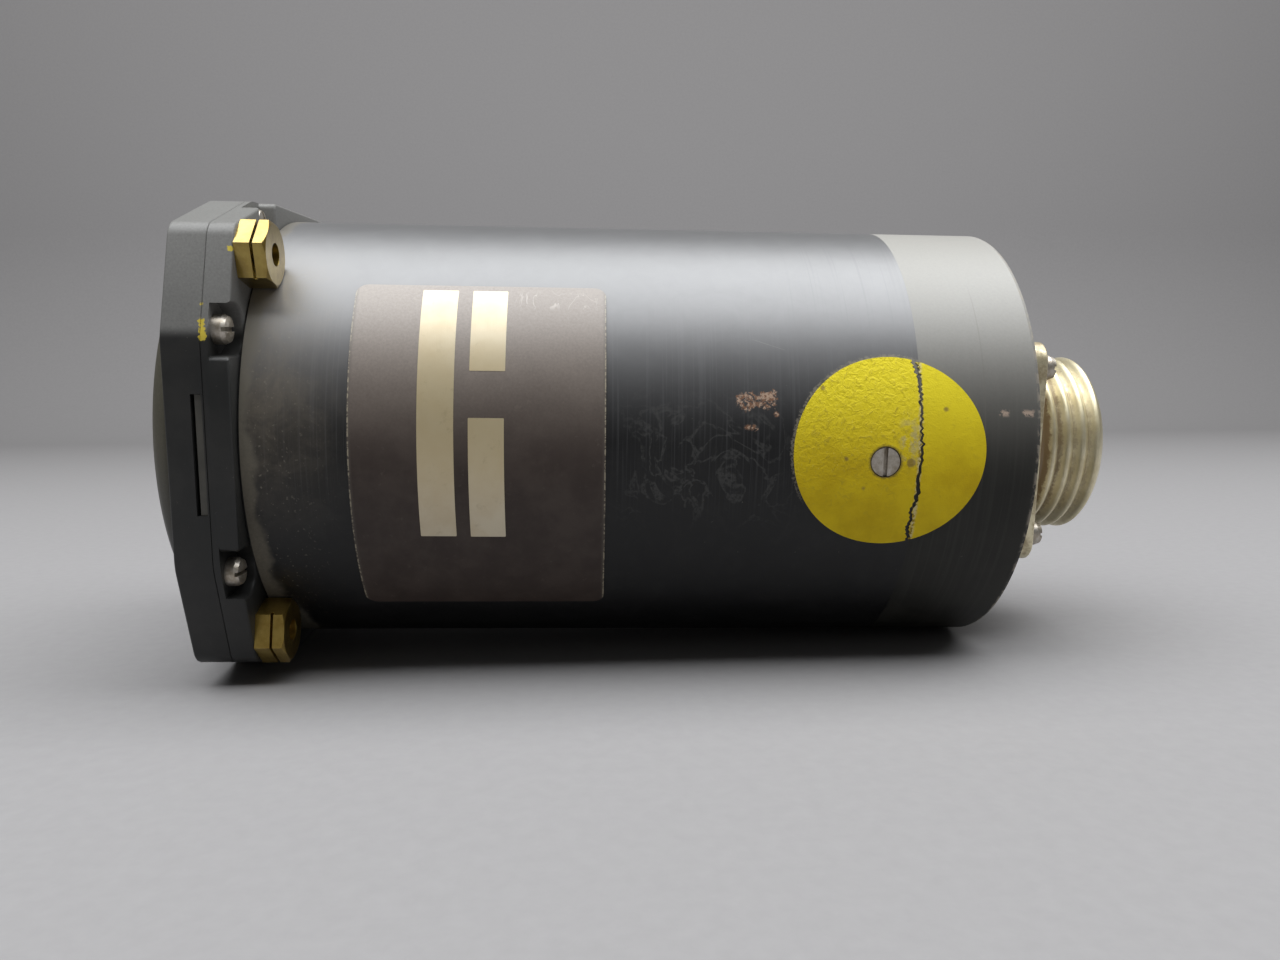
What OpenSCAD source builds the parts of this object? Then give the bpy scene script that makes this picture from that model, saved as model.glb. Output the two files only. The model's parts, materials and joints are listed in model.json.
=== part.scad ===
// Panel-mounted aircraft radio magnetic indicator, 3 inch case, resting on its side.
// The case axis is X: the dial looks along -X, the connector leaves along +X, and +Z is the dial's top.
// The origin is the centre of the flange's front face, which seats against the instrument panel.

/* [Flange] */
// Width of the flange across its flat sides
flange_w = 82.55; // [80:0.05:88]
// Half length of each straight side, before the slight bevel to the corner
side_half = 18.2; // [16:0.1:22]
// How far each corner stands from the centre, along Y and along Z
corner_at = 35.7; // [34.8:0.1:36.4]
// Radius that blunts the four corners
corner_r = 49.9; // [49:0.1:50.5]
// Thickness of the front bezel's flange
bezel_t = 6.1; // [4.6:0.1:8]
// Thickness of the mounting plate behind the bezel
plate_t = 4.1; // [3.2:0.1:6]
// Distance between the mounting holes along Y and along Z
hole_spacing = 62.87; // [62:0.01:64]
// Diameter of the mounting holes
hole_d = 3.8; // [3:0.1:4.4]
// Height of the raised round ring in front of the flange
ring_h = 4; // [2.4:0.1:5]
// Diameter of the raised ring, which pilots in the panel's cut-out
ring_d = 77.8; // [76:0.1:80]

/* [Fasteners] */
// Width of a mounting nut across its flats
nut_af = 9.525; // [8:0.025:10]
// Length of a mounting nut behind the plate
nut_len = 4.8; // [4:0.1:8]
// Width of the saw cut that makes a mounting nut self-locking
saw_w = 0.45; // [0.3:0.05:0.8]
// Diameter of a flange screw's head
flange_head_d = 4.7; // [4:0.1:5.4]
// Height of a flange screw's head
flange_head_h = 2.4; // [1.6:0.1:2.8]
// Diameter of a flange screw's shank
flange_shank_d = 2.8; // [2:0.1:3]
// Place of a flange screw along the side, from the middle
flange_screw_b = 19.5; // [17:0.1:21]
// Distance from a flange screw to the flat side of the flange
flange_screw_edge = 3.8; // [3.4:0.1:5]
// Radius of the milled pocket round a flange screw's head
pocket_r = 4.05; // [3.4:0.05:4.6]
// Thickness of plate left under a flange screw's head
pocket_floor = 1.1; // [0.5:0.1:1.4]

/* [Glass and lighting] */
// Diameter of the round opening that shows the dial
aperture_d = 62; // [58:0.5:64]
// Thickness of the cover glass
glass_t = 2.4; // [1.6:0.1:2.8]
// Thickness of the ring gasket between the lip and the glass
glass_gasket_t = 0.4; // [0.3:0.1:0.8]
// Width of the glass and its gasket behind the lip, all round
glass_seat = 3; // [2:0.1:3.4]
// Thickness of the snap ring that holds the glass
snap_t = 0.9; // [0.6:0.1:1.2]
// Length of the lamp tray's slot in the side of the bezel
tray_len = 19.2; // [14:0.1:24]
// Width of the lamp tray's slot
tray_slot_w = 1.7; // [1.4:0.05:1.9]
// Thickness of the lamp tray
tray_t = 1.2; // [1:0.05:1.3]

/* [Dial] */
// Diameter of the turning compass card
card_d = 54; // [50:0.5:56]
// Thickness of the compass card
card_t = 0.8; // [0.6:0.1:1.2]
// Length of the single needle from the centre to its tip
single_tip = 24; // [18:0.5:25]
// Length of the single needle's tail
single_tail = 22; // [12:0.5:24]
// Width of the single needle
single_w = 1.5; // [1:0.1:2.4]
// Length of the double needle from the centre to its tip
double_tip = 23; // [18:0.5:25]
// Length of the double needle's tail
double_tail = 21; // [12:0.5:24]
// Width of the double needle over both bars
double_w = 5.2; // [4.4:0.1:7]
// Thickness of both needles
needle_t = 0.5; // [0.3:0.05:0.6]
// Direction in which the single needle rests, clockwise from the top as the pilot sees it
single_rest = 38; // [0:1:359]
// Direction in which the double needle rests, clockwise from the top as the pilot sees it
double_rest = 292; // [0:1:359]
// Length of the warning flag's blade
flag_len = 9; // [6:0.5:10]
// Width of the warning flag's blade
flag_w = 2.6; // [1.8:0.1:3]

/* [Case] */
// Outside diameter of the cover tube and the rear cap
case_d = 79; // [77.5:0.1:80.5]
// Wall of the cover tube
tube_wall = 1.6; // [1.2:0.1:2.2]
// Length of the cover tube
tube_len = 109.25; // [105:0.05:130]
// Thickness of the flat gasket between the plate and the tube
case_gasket_t = 0.35; // [0.3:0.05:1]
// Length of the rear cap
cap_len = 20.5; // [16:0.1:30]
// Wall of the rear cap round its side
cap_wall = 2.5; // [1.8:0.1:3.6]
// Thickness of the rear cap's end
cap_end_t = 2.5; // [2.2:0.1:4]
// Length of the cap's spigot inside the tube
spigot_len = 10.8; // [9:0.1:14]
// Wall of the cap's spigot
spigot_wall = 2.8; // [2:0.1:3]
// Distance from the tube's rear end to the cover screws
cover_screw_back = 5.6; // [4.6:0.1:6]
// Diameter of a cover screw's flush head
cover_head_d = 4.8; // [4:0.1:6]

/* [Plates on the case] */
// Distance from the tube's front end to the data plate
label_from = 16.75; // [12:0.05:30]
// Length of the data plate along the case
label_len = 41; // [30:0.5:60]
// Angle of the data plate's upper edge above the side
label_top = 43; // [20:0.1:60]
// Angle of the data plate's lower edge below the side
label_bottom = 43; // [20:0.1:60]
// Thickness of the data plate's foil
label_t = 0.25; // [0.15:0.05:0.5]
// Diameter of the paper inspection seal
seal_d = 32; // [24:0.5:36]
// Thickness of the paper inspection seal
seal_t = 0.15; // [0.1:0.05:0.3]
// Angle of the seal's centre above the side
seal_angle = 1.5; // [0:0.1:10]
// Angle of the cover screw that shows through the seal, below the side
cover_screw_angle = 0.6; // [0:0.1:12]

/* [Connector] */
// Width of the connector's square flange
conn_flange_w = 41.3; // [40:0.1:44]
// Thickness of the connector's flange
conn_flange_t = 3.2; // [2.4:0.1:4]
// Distance between the connector's screws
conn_spacing = 31.75; // [31:0.05:34]
// Diameter over the crests of the coupling thread
conn_d = 34.9; // [33:0.1:36]
// Depth of the rounded coupling thread
thread_depth = 1.3; // [0.8:0.1:1.5]
// Pitch of the rounded coupling thread
thread_pitch = 2.9; // [2.4:0.1:3.2]
// Number of crests along the coupling thread
thread_count = 4; // [3:1:4]
// Length of the connector's shell behind its flange
conn_len = 14.3; // [13:0.1:18]
// Diameter of the bore that takes the mating plug
socket_d = 28.6; // [26:0.1:29]
// Depth of the bore that takes the mating plug
socket_depth = 9.7; // [8:0.1:11]
// Outside diameter of a socket contact
contact_d = 2.4; // [2:0.1:2.8]
// Diameter of the hole in a socket contact
contact_bore_d = 1.6; // [1:0.1:1.8]
// How far the connector sits below the case's axis
conn_drop = 1.5; // [0:0.1:3]
// Height of the square boss on the cap, under the connector
boss_h = 5.6; // [4:0.1:8]

/* [Gears and shafts] */
// Gear module: pitch diameter over number of teeth
gear_m = 0.5; // [0.5:0.01:0.52]
// Teeth of the card gear, both synchro gears and the double needle's gear
main_teeth = 48; // [48:1:48]
// Teeth of the idler's small gear
idler_small_teeth = 15; // [15:1:15]
// Teeth of the idler's large gear
idler_large_teeth = 42; // [42:1:42]
// Teeth of the servo pinion
pinion_teeth = 15; // [15:1:15]
// Play between two meshed teeth
backlash = 0.14; // [0.1:0.01:0.2]
// Thickness of every gear
gear_t = 2; // [1.5:0.1:2.2]
// Diameter of the single needle's shaft
inner_shaft_d = 2; // [1.6:0.1:2.2]
// Wall of the two hollow shafts
hollow_wall = 0.75; // [0.6:0.05:1]
// Diameter of the synchro and servo shafts
small_shaft_d = 1.6; // [1.2:0.1:2]
// Radial play of a shaft in its bearing
run_gap = 0.05; // [0.02:0.01:0.09]
// Diameter of the synchros and the servo motor
synchro_d = 19.05; // [17:0.05:20]
// Length of a synchro
synchro_len = 31.7; // [26:0.1:34]
// Length of the servo motor
servo_len = 37; // [28:0.1:39]

/* [Frame] */
// Thickness of the frame plates
frame_t = 2.2; // [1.8:0.1:3]
// Diameter of the three tie rods
rod_d = 3.2; // [2.4:0.1:3.6]
// Outside diameter of the spacers on the tie rods
spacer_d = 5; // [4.6:0.1:5.2]
// Distance from a tie rod's axis to the edge of a circuit board
rod_edge = 2.45; // [2.25:0.05:2.95]
// Thickness of a circuit board
board_t = 1.6; // [1.2:0.1:2.4]
// Distance from the rear frame plate to the amplifier board
amp_back = 10; // [8:0.5:16]
// Distance from the amplifier board to the supply board
supply_back = 13; // [12.6:0.1:16]

/* [Hidden] */
$fn = 96;

slip = 0.05;       // radial clearance between pieces that are slid together and stay
cut = 0.02;        // how far a cutting solid runs past the face it cuts
diagonals = [[1, 1], [1, -1], [-1, -1], [-1, 1]];
thirds = [0, 120, 240];

// Flange
flange_r = flange_w / 2;
hole_at = hole_spacing / 2;
plate_x = bezel_t + plate_t;
ring_land = 1.3;
ring_slope = 2.2;
nut_thread_play = 0.1;
nut_bore_d = hole_d - nut_thread_play;
nut_chamfer = 0.4;
nut_cut_share = 0.56;
nut_cut_place = 0.56;
ferrule_d = 5.6;
ferrule_len = 2.4;
flange_screw_a = flange_r - flange_screw_edge;
flange_shank_end = 1.6;
slot_w = 0.7;
slot_depth = 0.8;

// Glass and lighting, counted rearwards from the lip
aperture_r = aperture_d / 2;
lip_x = -1.4;
lip_edge_t = 0.8;
lip_front_w = 2.4;
glass_gap = 0.5;
recess_r = aperture_r + glass_seat + glass_gap;
glass_r = aperture_r + glass_seat;
glass_x = lip_x + glass_gasket_t;
snap_x = glass_x + glass_t;
snap_groove = 0.5;
snap_play = 0.1;
snap_show = 1.4;
snap_inner_r = aperture_r + snap_show;
snap_opening = 5;
gasket_show = 0.6;
tray_back = 0.25;
tray_wall = 0.8;
tray_x = bezel_t - tray_back - tray_slot_w;
tray_inset = 0.35;
lamp_d = 0.9;
lamp_len = 2.2;
lamp_at = 6;
lamp_seat = 1.4;
lamp_play = 0.1;
tray_pocket_depth = flange_r - recess_r - tray_wall;
tray_centre = tray_x + tray_slot_w / 2;
tray_inner = tray_pocket_depth - flange_r;

// Dial stack
index_t = 1.2;
index_gap = 0.4;
card_r = card_d / 2;
card_back = 0.25;
card_x = bezel_t - card_t - card_back;
card_hub_t = 1.2;
card_hub_w = 3;
card_boss = 0.3;
index_r = recess_r - slip;
card_to_needle = 1.05;
needle_gap = 0.6;
double_x = card_x - card_to_needle - needle_t;
single_x = double_x - needle_gap - needle_t;
needle_hub_r = 2.4;
double_hub_r = 2.8;
needle_play = 0.01;
shaft_end = 0.2;
single_head_len = 4;
double_head_len = 5.5;
double_bar_w = 1.2;
barb = 1;
flag_gap = 0.4;
flag_t = 0.3;
flag_x = card_x - flag_gap - flag_t;
flag_beyond = 1.2;
flag_at = aperture_r + flag_beyond;
flag_polar = 130;
flag_centre = polar(flag_at, flag_polar);
flag_shaft_d = 1.2;
flag_motor_size = [8, 9];
flag_motor_out = 1.2;
flag_motor_in = 3.2;
flag_body_gap = 0.4;

// Case
case_r = case_d / 2;
tube_r = case_r - tube_wall;
tube_x = plate_x + case_gasket_t;
joint_x = tube_x + tube_len;
cap_x = joint_x + cap_len;
register_r = tube_r - slip * 2;
register_wall = 3.2;
register_inner_r = register_r - register_wall;
register_len = 4.9;
register_x = plate_x + register_len;
gasket_edge = 0.4;
spigot_r = tube_r - slip;
spigot_x = joint_x - spigot_len;
cap_edge = 0.8;
cover_screw_x = joint_x - cover_screw_back;
cover_shank_d = 2.4;
shank_short = 0.2;
seal_shift = 0.7;
seal_hole_gap = 0.2;
tear_w = 0.3;

// Connector
conn_x = cap_x + boss_h;
conn_gasket_t = 0.5;
conn_flange_x = conn_x + conn_gasket_t;
conn_face_x = conn_flange_x + conn_flange_t;
rim_x = conn_face_x + conn_len;
conn_neck_r = conn_d / 2 - thread_depth;
socket_r = socket_d / 2;
socket_x = rim_x - socket_depth;
socket_step = 0.6;
insert_r = socket_r - socket_step;
barrel_wall = 1;
barrel_r = socket_r + barrel_wall;
barrel_gap = 0.2;
conn_back = 7;
conn_corner_r = 4;
boss_margin = 0.6;
key_w = 2.4;
key_depth = 0.7;
insert_back = 1;
cup_len = 4;
contact_recess = 0.3;
contact_depth = 6;
contact_rings = [[1, 0], [6, 5.4], [12, 10.6]];
boss_floor = 1;
conn_head_d = 4.7;
conn_head_h = 3.3;
conn_shank_d = 2.8;
conn_shank_len = 7.4;
cup_end = conn_flange_x - conn_back + insert_back - cup_len;

// Shafts and gears
inner_shaft_r = inner_shaft_d / 2;
double_bore_r = inner_shaft_r + run_gap;
double_shaft_r = double_bore_r + hollow_wall;
card_bore_r = double_shaft_r + run_gap;
card_shaft_extra = 0.4;
card_shaft_r = card_bore_r + hollow_wall + card_shaft_extra;
small_shaft_r = small_shaft_d / 2;
gear_gap = 1;
front_plate_x = register_x;
card_gear_x = front_plate_x + frame_t + gear_gap;
servo_gear_x = card_gear_x + gear_t + gear_gap;
double_gear_x = servo_gear_x + gear_t + gear_gap;
middle_plate_x = double_gear_x + gear_t + gear_gap * 2;
main_distance = gear_m * main_teeth;
idler_distance = gear_m * (main_teeth + idler_small_teeth) / 2;
pinion_distance = gear_m * (idler_large_teeth + pinion_teeth) / 2;
heading_polar = 210;
double_polar = 330;
servo_polar = 90;
idler_polar = servo_polar - acos((pow(idler_distance, 2) + pow(main_distance, 2)
    - pow(pinion_distance, 2)) / (2 * idler_distance * main_distance));
heading_centre = polar(main_distance, heading_polar);
double_centre = polar(main_distance, double_polar);
servo_centre = polar(main_distance, servo_polar);
idler_centre = polar(idler_distance, idler_polar);
pinion_polar = atan2(servo_centre[1] - idler_centre[1], servo_centre[0] - idler_centre[0]);
heading_turn = mesh_turn(heading_polar, 0, main_teeth, main_teeth);
double_turn = mesh_turn(double_polar, 0, main_teeth, main_teeth);
idler_small_turn = mesh_turn(idler_polar, 0, main_teeth, idler_small_teeth);
pinion_turn = mesh_turn(pinion_polar, 0, idler_large_teeth, pinion_teeth);
shaft_depth = 6;
bore_spare = 0.5;
gear_boss = 0.3;

// Frame
frame_gap = 0.5;
frame_r = tube_r - frame_gap;
synchro_r = synchro_d / 2;
synchro_boss_r = 6;
synchro_x = middle_plate_x + frame_t;
synchro_end = synchro_x + synchro_len;
servo_end = synchro_x + servo_len;
synchro_step = 3;
synchro_step_w = 1.5;
servo_room = 41;
rear_plate_x = synchro_x + servo_room;
rear_plate_end = rear_plate_x + frame_t;
amp_x = rear_plate_end + amp_back;
amp_end = amp_x + board_t;
supply_x = amp_end + supply_back;
supply_end = supply_x + board_t;
cap_inner_x = cap_x - cap_end_t;
rod_polar = 30;
rod_thread = 3;
spacer_r = spacer_d / 2;
rod_r = rod_d / 2;
cap_screw_r = 1;
cap_screw_head_r = 2.2;
cap_screw_head_h = 1.3;
cap_screw_play = 0.15;
cap_screw_sink = 0.1;
cap_screw_spare = 0.5;
cap_screw_len = 6;
board_gap = 0.6;
board_r = spigot_r - spigot_wall - board_gap;
rod_at = board_r - rod_edge;
bore_to_rod = 3;
plate_bore_r = rod_at - bore_to_rod;
bush_wall = 1.4;
bush_r = bush_wall + run_gap;
idler_shaft_r = 1.2;
idler_hub_r = 1.8;
lead_r = 1.2;
lead_gap = 0.5;
trunk_r = 2;
trunk_at = 6.5;
link_at = 3.9;
transformer_size = [20, 16, 24];
transformer_at = 17;
can_r = 2.6;
can_h = 7.8;
can_at = 22;
coil_r = 4.2;
coil_h = 5.8;
coil_at = 12;
trimmer_size = [4, 5, 9];
trimmer_at = [13, -6];

// A point at distance r and angle a, counted from +Y towards +Z
function polar(r, a) = [r * cos(a), r * sin(a)];

// The angle to turn gear B by, so that it meshes with gear A, which lies at angle a from B's
// direction: B's centre is at that angle from A's, and A itself is turned by turn_a
function mesh_turn(a, turn_a, teeth_a, teeth_b) =
    a + 180 + 180 / teeth_b + (a - turn_a) * teeth_a / teeth_b;

// Half the angle that a 20 degree involute tooth fills at radius r
function involute(b, r) = let (c = sqrt(max(0, pow(r / b, 2) - 1))) c * 180 / PI - atan(c);
function tooth_half(teeth, r) =
    let (p = gear_m * teeth / 2, b = p * cos(20))
    90 / teeth - backlash / 4 / p * 180 / PI + involute(b, p) - involute(b, max(r, b));

// Outline of a spur gear with its first tooth along +Y
function gear_outline(teeth) =
    let (
        p = gear_m * teeth / 2,
        radii = [p - 1.2 * gear_m, p - 0.5 * gear_m, p, p + 0.5 * gear_m, p + 0.9 * gear_m]
    )
    [for (i = [0:teeth - 1], side = [-1, 1], k = [0:4])
        let (r = side < 0 ? radii[k] : radii[4 - k])
        polar(r, i * 360 / teeth + side * tooth_half(teeth, r))];

// Turns a shape drawn in X and Y so that it faces along the case's axis
module axial() {
    rotate([90, 0, 90])
        children();
}

// A round bar along the case's axis, from x0 to x1, centred at the point at
module bar(r, x0, x1, at = [0, 0]) {
    translate([x0, at[0], at[1]])
        rotate([0, 90, 0])
            cylinder(r = r, h = x1 - x0);
}

// A turned ring along the case's axis
module ring(r_out, r_in, x0, x1, at = [0, 0]) {
    difference() {
        bar(r_out, x0, x1, at);
        bar(r_in, x0 - cut, x1 + cut, at);
    }
}

// A flat outline in Y and Z, extruded from x0 to x1
module slab(x0, x1) {
    translate([x0, 0, 0])
        axial()
            linear_extrude(x1 - x0)
                children();
}

// A block whose faces lie along the axes, centred on Y and Z at the point at
module block(x0, x1, w, h, at = [0, 0]) {
    translate([x0, at[0] - w / 2, at[1] - h / 2])
        cube([x1 - x0, w, h]);
}

// A square with rounded corners
module rounded_square(w, r) {
    union() {
        square([w, w - 2 * r], center = true);
        square([w - 2 * r, w], center = true);
        for (d = diagonals)
            translate(d * (w / 2 - r))
                circle(r = r);
    }
}

module gear(teeth, x0, at, turn) {
    translate([x0, at[0], at[1]])
        axial()
            rotate(turn)
                linear_extrude(gear_t)
                    polygon(gear_outline(teeth));
}

// Outline of the flange: straight sides, slight bevels and blunted corners
module flange_outline() {
    intersection() {
        polygon([
            [flange_r, -side_half], [flange_r, side_half], [corner_at, corner_at],
            [side_half, flange_r], [-side_half, flange_r], [-corner_at, corner_at],
            [-flange_r, side_half], [-flange_r, -side_half], [-corner_at, -corner_at],
            [-side_half, -flange_r], [side_half, -flange_r], [corner_at, -corner_at]
        ]);
        circle(r = corner_r);
    }
}

// Puts its children at the four mounting holes
module at_mounting_holes() {
    for (d = diagonals)
        translate([0, d[0] * hole_at, d[1] * hole_at])
            rotate([atan2(d[1], d[0]), 0, 0])
                children();
}

// Puts its children at the eight flange screws, with local +Y outwards
module at_flange_screws() {
    for (side = [0:3], b = [-1, 1])
        rotate([side * 90, 0, 0])
            translate([0, flange_screw_a, b * flange_screw_b])
                children();
}

// Puts its children on the cover's rear screws, with local +Y outwards
module at_cover_screws() {
    for (a = thirds)
        rotate([180 + cover_screw_angle + a, 0, 0])
            translate([cover_screw_x, 0, 0])
                children();
}

// Puts its children on the tie rods' axes
module at_rods() {
    for (a = thirds)
        rotate([rod_polar + a, 0, 0])
            translate([0, rod_at, 0])
                children();
}

module front_bezel() {
    color([0.13, 0.13, 0.14])
        difference() {
            union() {
                slab(0, bezel_t)
                    flange_outline();
                axial()
                    rotate_extrude()
                        polygon([
                            [0, 0], [ring_d / 2, 0], [ring_d / 2, -ring_land],
                            [ring_d / 2 - ring_slope * 0.3, -ring_h * 0.7],
                            [ring_d / 2 - ring_slope, -ring_h],
                            [aperture_r + lip_front_w, -ring_h],
                            [aperture_r, lip_x - lip_edge_t], [0, lip_x - lip_edge_t]
                        ]);
            }
            bar(aperture_r, -ring_h - cut, bezel_t + cut);
            bar(recess_r, lip_x, bezel_t + cut);
            bar(recess_r + snap_groove, snap_x, snap_x + snap_t + snap_play);
            at_mounting_holes()
                bar(hole_d / 2, -cut, bezel_t + cut);
            at_flange_screws()
                bar(flange_shank_d / 2 + slip, flange_shank_end, bezel_t + cut);
            lamp_pocket();
        }
}

// The slot in the side of the bezel that holds the lamp tray
module lamp_pocket() {
    translate([tray_x, -flange_r - cut, -tray_len / 2])
        cube([tray_slot_w, tray_pocket_depth + cut, tray_len]);
    for (s = [-1, 1])
        translate([tray_centre, -recess_r + cut, s * lamp_at])
            rotate([90, 0, 0])
                cylinder(r = lamp_d / 2 + lamp_play, h = tray_wall * 2, $fn = 24);
}

module cover_glass() {
    color([0.8, 0.88, 0.86, 0.4])
        bar(glass_r, glass_x, snap_x);
}

module glass_gasket() {
    color([0.08, 0.08, 0.08])
        ring(glass_r, aperture_r + gasket_show, lip_x, glass_x);
}

// A split spring ring in its groove behind the glass
module snap_ring() {
    color([0.6, 0.61, 0.62])
        difference() {
            ring(recess_r + snap_groove - slip, snap_inner_r, snap_x, snap_x + snap_t);
            block(snap_x - cut, snap_x + snap_t + cut, snap_opening, recess_r, [0, -recess_r]);
        }
}

module lamp_tray() {
    color([0.2, 0.2, 0.2])
        difference() {
            translate([tray_x + tray_slot_w - tray_t, -flange_r + tray_inset, -tray_len / 2 + slip])
                cube([tray_t, tray_pocket_depth - tray_inset, tray_len - 2 * slip]);
            for (s = [-1, 1])
                translate([tray_centre, tray_inner + cut, s * lamp_at])
                    rotate([90, 0, 0])
                        cylinder(d = lamp_d + cut, h = lamp_seat + lamp_play, $fn = 24);
        }
}

module lamps() {
    color([0.95, 0.85, 0.6])
        for (s = [-1, 1])
            translate([tray_centre, tray_inner - lamp_seat + lamp_len, s * lamp_at])
                rotate([90, 0, 0])
                    cylinder(d = lamp_d, h = lamp_len, $fn = 24);
}

module mounting_plate() {
    color([0.12, 0.12, 0.13])
        difference() {
            union() {
                slab(bezel_t, plate_x)
                    flange_outline();
                bar(register_r, plate_x - cut, register_x);
            }
            bar(plate_bore_r, bezel_t - cut, plate_x + cut);
            bar(register_inner_r, plate_x, register_x + cut);
            at_mounting_holes() {
                bar(hole_d / 2, bezel_t - cut, plate_x + cut);
                bar(ferrule_d / 2 + slip, plate_x - ferrule_len, plate_x + cut);
            }
            at_flange_screws() {
                bar(flange_shank_d / 2 + slip, bezel_t - cut, plate_x + cut);
                bar(pocket_r, bezel_t + pocket_floor, plate_x + cut);
                translate([bezel_t + pocket_floor, 0, -pocket_r])
                    cube([plate_t, flange_screw_edge + cut, pocket_r * 2]);
            }
            at_rods()
                bar(rod_r + slip, plate_x - rod_thread, plate_x + cut);
            bar(flag_shaft_d / 2 + run_gap, bezel_t - cut, plate_x + cut, flag_centre);
        }
}

// Self-locking nuts, each swaged into the plate by its ferrule, with one flat towards the case
module mounting_nuts() {
    color([0.78, 0.64, 0.33])
        at_mounting_holes()
            difference() {
                union() {
                    intersection() {
                        translate([plate_x, 0, 0])
                            rotate([0, 90, 0])
                                rotate(90)
                                    rotate(30)
                                        cylinder(d = nut_af / cos(30), h = nut_len, $fn = 6);
                        axial()
                            rotate_extrude()
                                polygon([
                                    [0, plate_x], [nut_af / 2 / cos(30), plate_x],
                                    [nut_af / 2 / cos(30), plate_x + nut_len - nut_chamfer],
                                    [nut_af / 2, plate_x + nut_len], [0, plate_x + nut_len]
                                ]);
                    }
                    bar(ferrule_d / 2, plate_x - ferrule_len, plate_x + cut);
                }
                bar(nut_bore_d / 2, plate_x - ferrule_len - cut, plate_x + nut_len + cut);
                translate([plate_x + nut_len * nut_cut_place - saw_w / 2,
                    nut_af / 2 - nut_af * nut_cut_share, -nut_af])
                    cube([saw_w, nut_af, nut_af * 2]);
            }
}

// One pan-head screw from x0, with its head towards +X and seated at x1
module slotted_screw(head_d, head_h, shank_d, x0, x1) {
    difference() {
        union() {
            bar(shank_d / 2, x0, x1 + cut);
            axial()
                rotate_extrude()
                    polygon([
                        [0, x1], [head_d / 2, x1], [head_d / 2, x1 + head_h * 0.6],
                        [head_d / 2 * 0.86, x1 + head_h * 0.88], [head_d / 2 * 0.5, x1 + head_h],
                        [0, x1 + head_h]
                    ]);
        }
        translate([x1 + head_h - slot_depth, -head_d, -slot_w / 2])
            cube([head_h, head_d * 2, slot_w]);
    }
}

module flange_screws() {
    color([0.66, 0.66, 0.64])
        at_flange_screws()
            slotted_screw(flange_head_d, flange_head_h, flange_shank_d,
                flange_shank_end + shank_short, bezel_t + pocket_floor);
}

module case_gasket() {
    color([0.07, 0.07, 0.07])
        ring(case_r - gasket_edge, register_r + slip, plate_x, tube_x);
}

module cover_tube() {
    color([0.1, 0.1, 0.11])
        difference() {
            bar(case_r, tube_x, joint_x);
            bar(tube_r, tube_x - cut, joint_x + cut);
            at_cover_screws()
                rotate([90, 0, 0])
                    translate([0, 0, -case_r - cut])
                        cylinder(d = cover_head_d + 2 * slip, h = tube_wall * 2);
        }
}

module rear_cap() {
    color([0.2, 0.2, 0.2])
        difference() {
            union() {
                axial()
                    rotate_extrude()
                        polygon([
                            [0, spigot_x], [spigot_r, spigot_x], [spigot_r, joint_x], [case_r, joint_x],
                            [case_r, cap_x - cap_edge], [case_r - cap_edge * 0.3, cap_x - cap_edge * 0.3],
                            [case_r - cap_edge, cap_x], [0, cap_x]
                        ]);
                slab(cap_x - cut, conn_x)
                    translate([0, -conn_drop])
                        rounded_square(conn_flange_w + 2 * boss_margin, conn_corner_r);
            }
            bar(spigot_r - spigot_wall, spigot_x - cut, joint_x + cut);
            bar(case_r - cap_wall, joint_x, cap_inner_x);
            bar(barrel_r + barrel_gap, cap_inner_x - cut, conn_x + cut, [0, -conn_drop]);
            at_cover_screws()
                rotate([90, 0, 0])
                    translate([0, 0, -case_r])
                        cylinder(d = cover_shank_d + 2 * slip, h = tube_wall + spigot_wall * 2);
            at_connector_screws()
                bar(conn_shank_d / 2 + slip, conn_x - boss_h + boss_floor, conn_x + cut);
            at_rods() {
                bar(cap_screw_r + slip, cap_inner_x - cut, cap_x + cut);
                bar(cap_screw_head_r + cap_screw_play,
                    cap_x - cap_screw_head_h - cap_screw_sink, cap_x + cut);
            }
        }
}

// Short flush screws through the tube into the cap's spigot
module cover_screws() {
    color([0.6, 0.6, 0.58])
        at_cover_screws()
            rotate([90, 0, 0])
                translate([0, 0, -case_r])
                    difference() {
                        union() {
                            cylinder(d = cover_head_d, h = tube_wall);
                            cylinder(d = cover_shank_d, h = tube_wall + spigot_wall - shank_short);
                        }
                        translate([-slot_w / 2, -cover_head_d, -cut])
                            cube([slot_w, cover_head_d * 2, slot_depth]);
                    }
}

module cap_screws() {
    color([0.62, 0.62, 0.6])
        at_rods()
            difference() {
                union() {
                    bar(cap_screw_head_r, cap_x - cap_screw_head_h - cap_screw_sink, cap_x - cap_screw_sink);
                    bar(cap_screw_r, cap_inner_x - cap_screw_len, cap_x - cap_screw_head_h);
                }
                translate([cap_x - cap_screw_sink - slot_depth, -cap_screw_head_r * 2, -slot_w / 2])
                    cube([slot_depth + cut, cap_screw_head_r * 4, slot_w]);
            }
}

// The foil plate, bent round the side of the tube
module data_plate() {
    x0 = tube_x + label_from;
    color([0.2, 0.15, 0.13])
        intersection() {
            ring(case_r + label_t, case_r, x0, x0 + label_len);
            axial()
                linear_extrude(x0 + label_len + 1)
                    polygon([
                        [0, 0],
                        for (a = [180 - label_top:(label_top + label_bottom) / 4:180 + label_bottom + 0.01])
                            polar(case_d, a)
                    ]);
        }
}

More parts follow.
